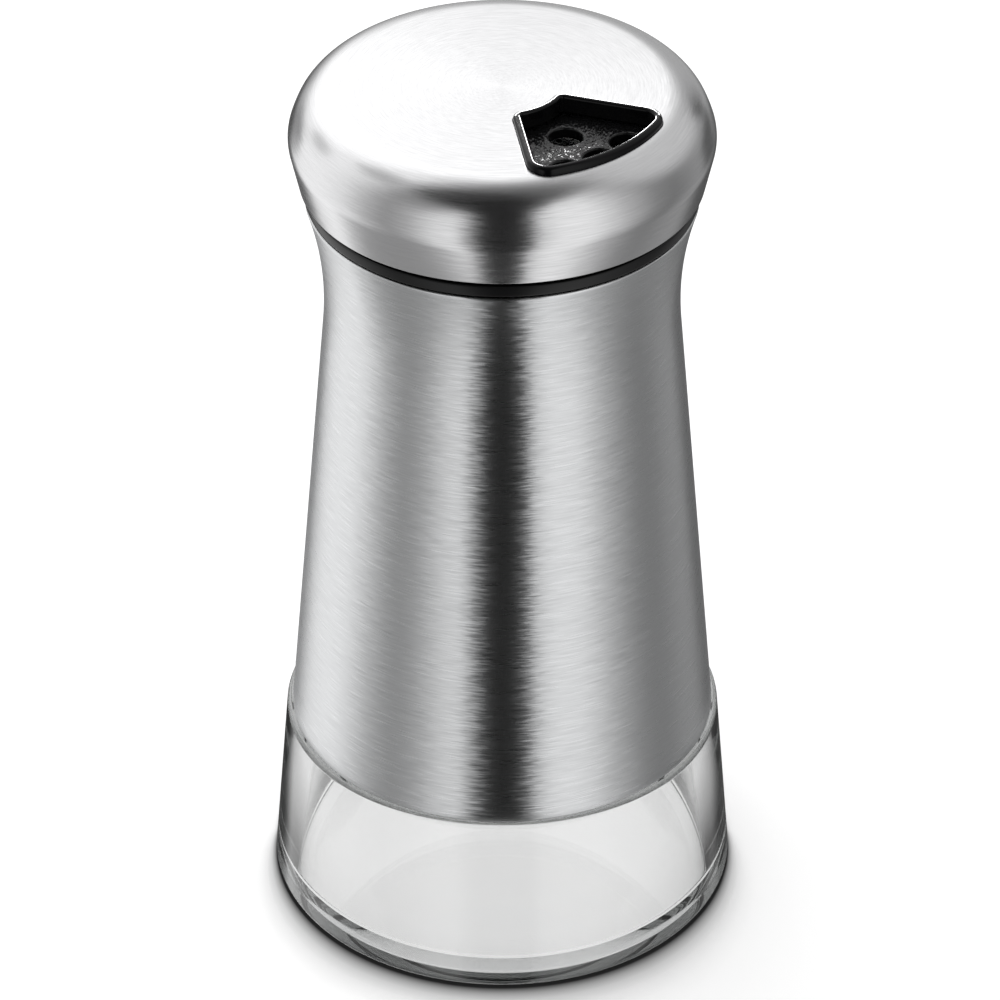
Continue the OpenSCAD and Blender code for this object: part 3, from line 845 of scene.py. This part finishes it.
sleeve_foot_r = radius_of("body_sleeve")
taper = math.degrees(math.atan2(sleeve_foot_r - WAIST_R, WAIST_Z - sleeve_foot_z))
flare_centre = Vector((WAIST_R, WAIST_Z)) + polar(FLARE_ROUND, taper)


def flare(radius):
    """Curve from the waist to the rim, on a circle of the given radius."""
    rise = (flare_centre.y - sleeve_rim_z) / radius
    return [tuple(p) for p in arc(flare_centre, radius, 180 + taper,
                                  180 + math.degrees(math.asin(rise)))]


outer_flare, inner_flare = flare(FLARE_ROUND), flare(FLARE_ROUND + SHEET)[::-1]
sleeve_outline = rounded(
    [(sleeve_foot_r, sleeve_foot_z, EDGE_ROUND)]
    + outer_flare[:-1]
    + [(*outer_flare[-1], EDGE_ROUND), (*inner_flare[0], EDGE_ROUND)]
    + inner_flare[1:]
    + [(sleeve_foot_r - SHEET / math.cos(math.radians(taper)), sleeve_foot_z, EDGE_ROUND)]
)
sleeve = lathe("sleeve", sleeve_outline, closed=True)
dress(sleeve, "body_sleeve", "jar", sleeve_steel)
print(f"taper {taper:.2f} degrees, rim radius {outer_flare[-1][0]:.2f} mm")

# %% [markdown]
# ## Steel cap
#
# The cap is spun from the same sheet: a flank that leans out, a belt where it is widest, a
# slow bevel, a tight shoulder and an almost flat crown. Its lower edge is turned in to a hem.
# The arcs run into each other without a kink, because a kink shows at once in the reflections.

# %% Outline of the cap
FLANK_SLOPE = 12.6
BELT_UP, BELT_ROUND, BELT_TURN = 6.22, 4.5, 18.0
BEVEL_ROUND, BEVEL_TURN, BEVEL_STEPS = 20.0, 23.0, 6
SHOULDER_ROUND, SHOULDER_TURN = 6.4, 89.0

cap_r = radius_of("steel_cap")
belt_centre = Vector((cap_r - BELT_ROUND, cap_edge_z + BELT_UP))
bevel_centre = belt_centre + polar(BELT_ROUND - BEVEL_ROUND, BELT_TURN)
shoulder_centre = bevel_centre + polar(BEVEL_ROUND - SHOULDER_ROUND, BEVEL_TURN)
crown_edge = shoulder_centre + polar(SHOULDER_ROUND, SHOULDER_TURN)
crown_round = crown_edge.x / math.cos(math.radians(SHOULDER_TURN))
crown_centre = Vector((0, crown_edge.y - crown_round * math.sin(math.radians(SHOULDER_TURN))))


def flank_r(z, inset):
    """Radius of the flank at height z, moved inwards by inset."""
    start = belt_centre + polar(BELT_ROUND - inset, -FLANK_SLOPE)
    return start.x - (start.y - z) * math.tan(math.radians(FLANK_SLOPE))


def cap_curve(inset):
    """Curve from the flank up to the axis, moved inwards by inset."""
    return [
        tuple(p)
        for p in arc(belt_centre, BELT_ROUND - inset, -FLANK_SLOPE, BELT_TURN)[:-1]
        + arc(bevel_centre, BEVEL_ROUND - inset, BELT_TURN, BEVEL_TURN, BEVEL_STEPS)[:-1]
        + arc(shoulder_centre, SHOULDER_ROUND - inset, BEVEL_TURN, SHOULDER_TURN)[:-1]
        + arc(crown_centre, crown_round - inset, SHOULDER_TURN, 90)
    ]


print(f"cap radius {cap_r:.2f} mm, crown edge at {crown_edge.x:.2f} mm")

# %% [markdown]
# The window is a sector of a ring, like a slice of cake with its tip cut off. Its corners are
# rounded, because a punch with sharp corners would tear the sheet. The same outline, grown or
# shrunk all round, later gives the lip and the funnel, so that they always fit the window.

# %% Outline of the window in the cap
WINDOW_IN_R, WINDOW_OUT_R, WINDOW_HALF = 7.3, 22.4, 31.7
WINDOW_IN_ROUND, WINDOW_OUT_ROUND = 1.6, 2.8
WINDOW_TURN = -90.0
TURN_STEPS, OUTER_STEPS, INNER_STEPS = 12, 24, 16


def sector(in_r, out_r, half, in_round, out_round, grow=0.0, towards=WINDOW_TURN):
    """Outline of a ring sector with rounded corners, grown all round."""
    far, near = out_r - out_round, in_r + in_round
    far_turn = half - math.degrees(math.asin(out_round / far))
    near_turn = half - math.degrees(math.asin(in_round / near))
    out_grown, in_grown = out_round + grow, in_round + grow
    points = (
        arc(polar(far, -far_turn), out_grown, -half - 90, -far_turn, TURN_STEPS)
        + arc((0, 0), out_r + grow, -far_turn, far_turn, OUTER_STEPS)[1:-1]
        + arc(polar(far, far_turn), out_grown, far_turn, half + 90, TURN_STEPS)
        + arc(polar(near, near_turn), in_grown, half + 90, near_turn + 180, TURN_STEPS)
        + arc((0, 0), in_r - grow, near_turn, -near_turn, INNER_STEPS)[1:-1]
        + arc(polar(near, -near_turn), in_grown, 180 - near_turn, 270 - half, TURN_STEPS)
    )
    turn_to = math.radians(towards)
    return [(p.x * math.cos(turn_to) - p.y * math.sin(turn_to),
             p.x * math.sin(turn_to) + p.y * math.cos(turn_to)) for p in points]


def window(grow):
    """Outline of the window, grown all round."""
    return sector(WINDOW_IN_R, WINDOW_OUT_R, WINDOW_HALF, WINDOW_IN_ROUND, WINDOW_OUT_ROUND,
                  grow)


print("window outline:", len(window(0)), "points")

# %% [markdown]
# The cap is turned as one closed shell, with the outside curve, the hem and the inside curve
# in one outline. Then the window is cut with a block that reaches below the falling shoulder.

# %% Cap
HEM, HEM_ROUND = 0.9, 0.24
LIP_GAP = 0.08
CUT_DOWN, CUT_UP = 6.0, 2.0

edge_r = flank_r(cap_edge_z, 0)
hem_z = cap_edge_z + SHEET
cap_outline = rounded(
    cap_curve(0)[::-1]
    + [(edge_r, cap_edge_z, HEM_ROUND), (edge_r - HEM, cap_edge_z, EDGE_ROUND),
       (edge_r - HEM, hem_z, EDGE_ROUND), (flank_r(hem_z, SHEET), hem_z, EDGE_ROUND)]
    + cap_curve(SHEET)
)
cap = lathe("cap", cap_outline)
window_cutter = block("window_cutter", window(LIP_GAP), crown_z - CUT_DOWN, crown_z + CUT_UP)
combine(cap, window_cutter, "DIFFERENCE")
dress(cap, "steel_cap", "cap", cap_steel)

# %% [markdown]
# ## Glass jar
#
# Pressed glass has no sharp corner anywhere: the mould and the fire polish round them all. It
# stands on a ring, above which the floor is slightly hollow. A rounded ledge carries the
# sleeve. The inside matters as much as the outside, because clear glass shows both.

# %% Outline of the jar
# foot
HEEL_ROUND, RING_WIDTH, RING_ROUND = 1.0, 4.2, 2.0
PUSH_UP, HOLLOW_RUN, HOLLOW_ROUND = 0.8, 5.0, 10.0
# ledge, and the bond between glass and sleeve
LEDGE_REVEAL, LEDGE_FLAT, STEP_ROUND, BOND = 0.75, 0.1, 0.3, 0.3
# floor and walls
FLOOR, FLOOR_ROUND, BELLY_ROUND = 3.0, 1.0, 4.0
JAR_WALL, LEDGE_WALL, SHOULDER_WALL = 3.3, 2.2, 2.5
# waist and neck
WAIST_ROUND, WAIST_IN_ROUND = 1.5, 2.5
SHOULDER_UP, MOUTH_R, NECK_R = 3.4, 17.4, 19.9
NECK_ROUND, NECK_IN_ROUND, RIM_ROUND = 0.8, 1.5, 0.6
GLASS_STEPS = 8

sheet_and_bond = (SHEET + BOND) / math.cos(math.radians(taper))
ledge_r = sleeve_foot_r + LEDGE_REVEAL
glass_r = sleeve_foot_r - sheet_and_bond
glass_waist_r = WAIST_R - sheet_and_bond
ring_in_r = jar_r - HEEL_ROUND - RING_WIDTH
heel_r = jar_r + HEEL_ROUND * (jar_r - ledge_r) / sleeve_foot_z
floor_r = jar_r - JAR_WALL
neck_foot_z = WAIST_Z + SHOULDER_UP

jar_outline = rounded([
    (0, PUSH_UP), (ring_in_r - HOLLOW_RUN, PUSH_UP, HOLLOW_ROUND), (ring_in_r, 0, RING_ROUND),
    (heel_r, 0, HEEL_ROUND), (ledge_r, sleeve_foot_z, LEDGE_REVEAL - LEDGE_FLAT),
    (glass_r, sleeve_foot_z, STEP_ROUND), (glass_waist_r, WAIST_Z, WAIST_ROUND),
    (NECK_R, neck_foot_z, NECK_ROUND), (NECK_R, rim_z, RIM_ROUND), (MOUTH_R, rim_z, RIM_ROUND),
    (MOUTH_R, neck_foot_z, NECK_IN_ROUND),
    (glass_waist_r - SHOULDER_WALL, WAIST_Z, WAIST_IN_ROUND),
    (glass_r - LEDGE_WALL, sleeve_foot_z, BELLY_ROUND), (floor_r, FLOOR, FLOOR_ROUND),
    (0, FLOOR),
], GLASS_STEPS)
jar = lathe("jar", jar_outline)
print(f"heel radius {jar_r:.3f} mm, rim at {rim_z:.2f} mm")

# %% [markdown]
# The thread on the neck is a ridge that climbs 4.2 mm a turn. The Screw modifier sweeps its
# cross-section up the neck, and at both ends the last rings sink back into the glass, as the
# ridge of a real neck fades out.

# %% Thread ridge
PITCH, THREAD_TURNS, THREAD_FROM_RIM = 4.2, 1.4, 4.5
THREAD_DEPTH, THREAD_FOOT, THREAD_CREST = 1.1, 2.0, 1.0
RIDGE_STEPS, FADE_STEPS = 144, 16
FUSE = 0.3
ON_CREST = 0.01  # mm from the crest that a point may lie


def thread_ridge(name, root_r, crest_r, start_z, start_turn):
    """A helical ridge from root_r to crest_r, which fades out at both ends."""
    corners = [(root_r, -THREAD_FOOT), (crest_r, -THREAD_CREST), (crest_r, THREAD_CREST),
               (root_r, THREAD_FOOT)]
    begin = math.tau * start_turn
    draw_outline(name, [Vector((r * math.cos(begin), r * math.sin(begin), start_z + w / 2)) * MM
                        for r, w in corners], True)
    bpy.ops.object.mode_set(mode="OBJECT")
    ridge = bpy.context.object
    last = round(RIDGE_STEPS * THREAD_TURNS)
    screw = ridge.modifiers.new("climb", "SCREW")
    screw.angle = math.tau * THREAD_TURNS
    screw.screw_offset = PITCH * THREAD_TURNS * MM
    screw.steps = screw.render_steps = last
    bpy.ops.object.modifier_apply(modifier=screw.name)
    for vertex in ridge.data.vertices:
        ring = vertex.index // len(corners)
        share = min(1, (ring + 1) / FADE_STEPS, (last - ring + 1) / FADE_STEPS)
        if abs(vertex.co.xy.length / MM - crest_r) < ON_CREST:
            vertex.co.xy *= (root_r + (crest_r - root_r) * share) / crest_r
    bpy.ops.object.mode_set(mode="EDIT")
    bpy.ops.mesh.select_all(action="SELECT")
    bpy.ops.mesh.fill_holes(sides=len(corners))
    return close_up(ridge)


neck_thread_z = rim_z - THREAD_FROM_RIM - THREAD_TURNS * PITCH
combine(jar, thread_ridge("neck_ridge", NECK_R - FUSE, NECK_R + THREAD_DEPTH, neck_thread_z, 0),
        "UNION")
dress(jar, "glass_jar", "jar", clear_glass)

# %% [markdown]
# ## Window lip and selector
#
# The selector is one black moulding under the cap: a plate, a skirt, a spindle and a short
# funnel whose lip stands up through the steel. The lip is the part that a finger meets, so it
# has full roundings. It starts as a block on the window's outline. Insetting its top face in
# small steps rounds the outer edge and then the inner edge, and the face that is left goes
# down through the block as the funnel's opening.

# %% Rounding an edge by insets
ROUND_STEPS = 8
FACES_UP = 0.99  # Z of a normal from which a face counts as level


def select_flat_top(piece):
    """Selects only the level face that lies highest, and leaves the piece in edit mode."""
    bpy.ops.object.mode_set(mode="OBJECT")
    highest = max(face.center.z for face in piece.data.polygons)
    for part in (piece.data.vertices, piece.data.edges, piece.data.polygons):
        part.foreach_set("select", [False] * len(part))
    for face in piece.data.polygons:
        face.select = face.center.z > highest - WELD and face.normal.z > FACES_UP
    bpy.ops.object.mode_set(mode="EDIT")


def inset_round(radius, rising):
    """Insets the selected face round a quarter circle, upwards or downwards."""
    for step in range(ROUND_STEPS):
        a, b = (math.radians(90 * (step + k) / ROUND_STEPS) for k in (0, 1))
        if rising:
            across, up = math.cos(a) - math.cos(b), math.sin(b) - math.sin(a)
        else:
            across, up = math.sin(b) - math.sin(a), math.cos(b) - math.cos(a)
        bpy.ops.mesh.inset(thickness=radius * across * MM, depth=radius * up * MM,
                           use_even_offset=True)


print("an edge is rounded in", ROUND_STEPS, "insets")

# %% [markdown]
# The face at the end of the opening and the bottom of the block are deleted, which leaves two
# open edges at the foot, one inside the other. Bridging them closes the lip into a solid again.

# %% Lip
LIP_WIDTH = 1.1
LIP_OUT_ROUND, LIP_IN_ROUND = 0.6, 0.42
PLATE_GAP, PLATE = 0.25, 0.85

disc_z = top_of("sifter_base")
plate_z = disc_z + PLATE_GAP
plate_top_z = plate_z + PLATE
lip_top_z = top_of("selector")

lip = block("window_lip", window(0), plate_z, lip_top_z - LIP_OUT_ROUND)
bpy.ops.object.mode_set(mode="EDIT")
bpy.ops.mesh.select_mode(type="FACE")
select_flat_top(lip)
inset_round(LIP_OUT_ROUND, True)
bpy.ops.mesh.inset(thickness=(LIP_WIDTH - LIP_OUT_ROUND - LIP_IN_ROUND) * MM, depth=0)
inset_round(LIP_IN_ROUND, False)
bpy.ops.mesh.extrude_region_move(TRANSFORM_OT_translate={
    "value": (0, 0, -(lip_top_z - LIP_IN_ROUND - plate_z) * MM)})
bpy.ops.mesh.delete(type="ONLY_FACE")
bpy.ops.object.mode_set(mode="OBJECT")
for face in lip.data.polygons:
    face.select = face.normal.z < -FACES_UP
bpy.ops.object.mode_set(mode="EDIT")
bpy.ops.mesh.delete(type="ONLY_FACE")
bpy.ops.mesh.select_mode(type="EDGE")
bpy.ops.mesh.select_all(action="DESELECT")
bpy.ops.mesh.select_non_manifold()
bpy.ops.mesh.bridge_edge_loops()
close_up(lip)

# %% [markdown]
# The top of the lip follows the cap, which falls away at its shoulder. A vertex group holds how
# far each point has to come down, and a Displace modifier lowers them by that much.

# %% Settle the lip on the shoulder
LIP_UP = 0.75


def drop(radius):
    """How far a surface that stands LIP_UP over the cap has fallen at a radius, in mm."""
    over = SHOULDER_ROUND + LIP_UP
    if radius <= crown_edge.x:
        return 0.0
    return over - math.sqrt(over**2 - (radius - shoulder_centre.x) ** 2)


settling = lip.vertex_groups.new(name="settling")
upper = [v for v in lip.data.vertices if v.co.z / MM > plate_top_z]
for vertex in upper:
    settling.add([vertex.index], drop(vertex.co.xy.length / MM), "REPLACE")
lower = lip.modifiers.new("settle", "DISPLACE")
lower.direction = "Z"
lower.mid_level = 0
lower.strength = -MM
lower.vertex_group = settling.name
bpy.ops.object.modifier_apply(modifier=lower.name)
lip.vertex_groups.clear()
print(f"lip lowered by up to {max(drop(v.co.xy.length / MM) for v in upper):.2f} mm")

# %% [markdown]
# The rest of the moulding is round. Its shoulder and its grip lie under the steel, so they
# follow the curves of the cap, moved inwards by the sheet and a hair of clearance. The funnel
# is cut through the plate with the window's outline, and the lip is joined on.

# %% Selector body
SKIRT_GAP, SELECTOR_WALL, DISC_CHAMFER = 0.35, 1.45, 1.0
BASE_R, GRIP = 22.6, 1.2
SPINDLE_R, PILOT_R, SPINDLE_HOLE = 3.5, 1.27, 6.0
STEEL_GAP = 0.02
UNDER_STEEL = SHEET + STEEL_GAP
MOULD_EDGE, FINE_EDGE, PILOT_EDGE = 0.3, 0.2, 0.1
REACH = 1.0  # mm by which a cutter reaches past what it cuts

selector_in_r = BASE_R + SKIRT_GAP
selector_r = selector_in_r + SELECTOR_WALL
selector_foot_z, spindle_end_z = foot_of("selector"), top_of("spindle_washer")
flange_top_z = selector_foot_z - SKIRT_GAP
grip_z = cap_edge_z + SHEET + LIP_GAP
under_round = SHOULDER_ROUND - UNDER_STEEL
start = math.degrees(math.asin((plate_top_z - shoulder_centre.y) / under_round))
finish = math.degrees(math.acos((selector_r - shoulder_centre.x) / under_round))
selector_outline = rounded(
    [(0, plate_top_z)]
    + [tuple(p) for p in arc(shoulder_centre, under_round, start, finish)]
    + [(selector_r, grip_z + 2 * GRIP), (flank_r(grip_z + GRIP, UNDER_STEEL), grip_z + GRIP),
       (flank_r(grip_z, UNDER_STEEL), grip_z, FINE_EDGE), (selector_r, grip_z, FINE_EDGE),
       (selector_r, selector_foot_z, MOULD_EDGE), (selector_in_r, selector_foot_z, MOULD_EDGE),
       (selector_in_r, disc_z - DISC_CHAMFER + PLATE_GAP),
       (BASE_R - DISC_CHAMFER + PLATE_GAP, plate_z), (SPINDLE_R, plate_z, MOULD_EDGE),
       (SPINDLE_R, spindle_end_z, FINE_EDGE), (PILOT_R, spindle_end_z, PILOT_EDGE),
       (PILOT_R, spindle_end_z + SPINDLE_HOLE), (0, spindle_end_z + SPINDLE_HOLE)]
)
selector = lathe("selector_moulding", selector_outline)
combine(selector, block("funnel_cutter", window(-LIP_WIDTH / 2), plate_z - REACH,
                        crown_z + REACH), "DIFFERENCE")
combine(selector, lip, "UNION")
dress(selector, "selector", "cap", black_gloss)

# %% [markdown]
# ## Sifter base
#
# The base is moulded in black plastic: a threaded skirt, the flange that shows between sleeve
# and cap, a funnel and the sifter disc. One closed outline holds them all, from the bore of the
# hub out over the disc, down the skirt and back up the inside.

# %% Base body
FLANGE_R, FLANGE, FLANGE_ROUND = 25.75, 1.6, 0.32
GROOVE_R, THREAD_GAP, BEAD = 21.2, 0.2, 0.7
SEAL, SEAL_GAP, SEAT_GAP = 1.2, 0.3, 0.02
CHAMBER_R, FUNNEL, DISC = 21.4, 5.0, 1.4
HUB_R, HUB_DOWN = 6.0, 3.2
SPINDLE_GAP = 0.05
RIM_EDGE, BORE_EDGE = 0.5, 0.15

bore_r = SPINDLE_R + SPINDLE_GAP
skirt_foot_z = foot_of("sifter_base")
flange_z = flange_top_z - FLANGE
disc_under_z = disc_z - DISC
seat_z = rim_z + SEAL + SEAT_GAP
seat_r = MOUTH_R + SEAL_GAP
bead_z = rim_z - THREAD_GAP
base_outline = rounded([
    (bore_r, disc_z, BORE_EDGE), (BASE_R - DISC_CHAMFER, disc_z, RIM_EDGE),
    (BASE_R, disc_z - DISC_CHAMFER, RIM_EDGE), (BASE_R, flange_top_z, MOULD_EDGE),
    (FLANGE_R, flange_top_z, FLANGE_ROUND), (FLANGE_R, flange_z, FLANGE_ROUND),
    (BASE_R, flange_z, MOULD_EDGE), (BASE_R, skirt_foot_z, MOULD_EDGE),
    (GROOVE_R, skirt_foot_z, MOULD_EDGE), (GROOVE_R, bead_z - BEAD),
    (GROOVE_R - BEAD, bead_z - BEAD / 2, BORE_EDGE), (GROOVE_R, bead_z), (GROOVE_R, seat_z),
    (seat_r, seat_z, MOULD_EDGE), (CHAMBER_R, seat_z + FUNNEL, RIM_EDGE),
    (CHAMBER_R, disc_under_z, MOULD_EDGE), (HUB_R, disc_under_z, MOULD_EDGE),
    (HUB_R, disc_under_z - HUB_DOWN, MOULD_EDGE), (bore_r, disc_under_z - HUB_DOWN, BORE_EDGE),
])
base = lathe("sifter", base_outline, closed=True)

# %% [markdown]
# The skirt has the same ridge as the neck, but it points inwards. It starts about a quarter
# turn earlier and lies lower by the width of a ridge, so that the two ridges run side by side
# with play between them.

# %% Base thread
FLANK_RUN = (THREAD_FOOT - THREAD_CREST) / 2 * THREAD_GAP / THREAD_DEPTH
THREAD_PLAY, THREAD_LEAD = 0.15, 0.28
THREAD_DROP = (THREAD_FOOT + THREAD_CREST) / 2 - FLANK_RUN + THREAD_PLAY

combine(base, thread_ridge("base_ridge", GROOVE_R + FUSE, NECK_R + THREAD_GAP,
                           neck_thread_z - THREAD_DROP - THREAD_LEAD * PITCH, -THREAD_LEAD),
        "UNION")

# %% [markdown]
# Each hole of the disc has a rounded upper edge, so that spice runs in. The holes are cut by
# one set of pins, as in the mould: a pin of each size is turned once, copied to its places,
# and all cut together.

# %% A pin, and copies of it
HOLE_ROUND, HOLE_EDGE_STEPS = 0.35, 6
PIN_STEPS = 64


def pin(radius):
    """A pin that flares at the disc's surface, which leaves a hole with a rounded edge."""
    flare_r = radius + HOLE_ROUND
    edge = arc((flare_r, disc_z - HOLE_ROUND), HOLE_ROUND, 180, 90, HOLE_EDGE_STEPS)
    flared = [(0, disc_under_z - REACH), (radius, disc_under_z - REACH)]
    flared += [tuple(p) for p in edge] + [(flare_r, disc_z + REACH), (0, disc_z + REACH)]
    return lathe("pin", flared, steps=PIN_STEPS)


def copy_to(tool, radius, degrees):
    """A copy of a tool, with its own mesh, moved out from the axis."""
    bpy.ops.object.select_all(action="DESELECT")
    bpy.context.view_layer.objects.active = tool
    tool.select_set(True)
    bpy.ops.object.duplicate()
    spot = polar(radius, degrees) * MM
    bpy.ops.transform.translate(value=(spot.x, spot.y, 0))
    bpy.ops.object.transform_apply(location=True, rotation=False, scale=False)
    return bpy.context.object


LARGE_R, FINE_R = 2.1, 1.0
large_pin, fine_pin = pin(LARGE_R), pin(FINE_R)

# %% [markdown]
# The large holes lie under the window at rest, and the fine ones a quarter turn on. Rows of
# holes share their radii, and a row spreads evenly to both sides of its middle.

# %% Rows of holes
INNER_ROW_R, OUTER_ROW_R = 12.4, 19.1
FINE_TURN = 0.0
ROWS = [
    # pin, radius, turn of the middle, step between holes, holes
    (large_pin, INNER_ROW_R, WINDOW_TURN, 0.0, 1),
    (large_pin, OUTER_ROW_R, WINDOW_TURN, 15.5, 3),
    (fine_pin, INNER_ROW_R, FINE_TURN, 16.0, 3),
    (fine_pin, OUTER_ROW_R, FINE_TURN, 10.0, 5),
]
pins = [copy_to(tool, row_r, middle + (i - (count - 1) / 2) * step)
        for tool, row_r, middle, step, count in ROWS for i in range(count)]
for used in (large_pin, fine_pin):
    bpy.data.objects.remove(used)
print(len(pins), "holes")

# %% [markdown]
# Four shallow dimples mark the stops of the selector. A ball that barely dips into the disc
# leaves each of them. The pour slot is a wide sector opposite the large holes.

# %% Dimples and pour slot
STOP_R, STOP_TURNS = 10.0, (45, 135, 225, 315)
BALL_R, BALL_DIPS = 1.6, 0.25
BALL_SEGMENTS, BALL_RINGS = 48, 24
POUR_IN_R, POUR_OUT_R, POUR_HALF, POUR_ROUND, POUR_TURN = 9.5, 20.4, 25.0, 1.5, 90.0

for stop_turn in STOP_TURNS:
    spot = polar(STOP_R, stop_turn) * MM
    bpy.ops.mesh.primitive_uv_sphere_add(
        segments=BALL_SEGMENTS, ring_count=BALL_RINGS, radius=BALL_R * MM,
        location=(spot.x, spot.y, (disc_z + BALL_R - BALL_DIPS) * MM))
    bpy.ops.object.transform_apply(location=True, rotation=False, scale=False)
    pins.append(bpy.context.object)
pour_outline = sector(POUR_IN_R, POUR_OUT_R, POUR_HALF, POUR_ROUND, POUR_ROUND,
                      towards=POUR_TURN)
pins.append(block("pour_pin", pour_outline, disc_under_z - REACH, disc_z + REACH))
print(len(pins), "pins and balls")

# %% [markdown]
# One cut with all the pins is quicker and cleaner than many cuts in turn, so they are joined
# into one tool first.

# %% Cut the disc
bpy.ops.object.select_all(action="DESELECT")
for tool in pins:
    tool.select_set(True)
bpy.context.view_layer.objects.active = pins[0]
bpy.ops.object.join()
combine(base, pins[0], "DIFFERENCE")
dress(base, "sifter_base", "base", black_satin)

# %% [markdown]
# ## Lines of light on the black plastic
#
# Black plastic is drawn by its highlights alone. A long strip behind the shaker runs a thin
# line of light round the inner edge of the lip, and a small one makes the disc glitter in
# front of its holes. On glass and steel such strong strips would burn out, so each is linked
# to its one black piece, as a lamp in a studio is shaded with a card.

# %% Strip lamps
STRIPS = [
    # piece, turn, rise, width and height in m, power in W
    (selector, -178, 21, (0.70, 0.16), 25.0),
    (base, -172, 18, (0.15, 0.10), 1.2),
]
STRIP_AWAY = 0.8
for piece, turn_deg, rise_deg, size, power in STRIPS:
    strip = area_lamp(f"strip_{piece.name}", turn_deg, rise_deg, STRIP_AWAY, size, power,
                      aim_z=disc_z * MM)
    lit_piece = bpy.data.collections.new(f"lit_by_{strip.name}")
    lit_piece.objects.link(piece)
    strip.light_linking.receiver_collection = lit_piece
print(len(STRIPS), "strips")

# %% [markdown]
# ## Size of the dressed shaker
#
# Finishes and roundings may not change how large the shaker is. The size of the box round the
# visible pieces is printed.

# %% Sizes of the dressed shaker, and the end
shown_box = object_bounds()
sides = [f"{(high - low) / MM:.2f}" for low, high in zip(*shown_box)]
print("dressed size:", " by ".join(sides), "mm")
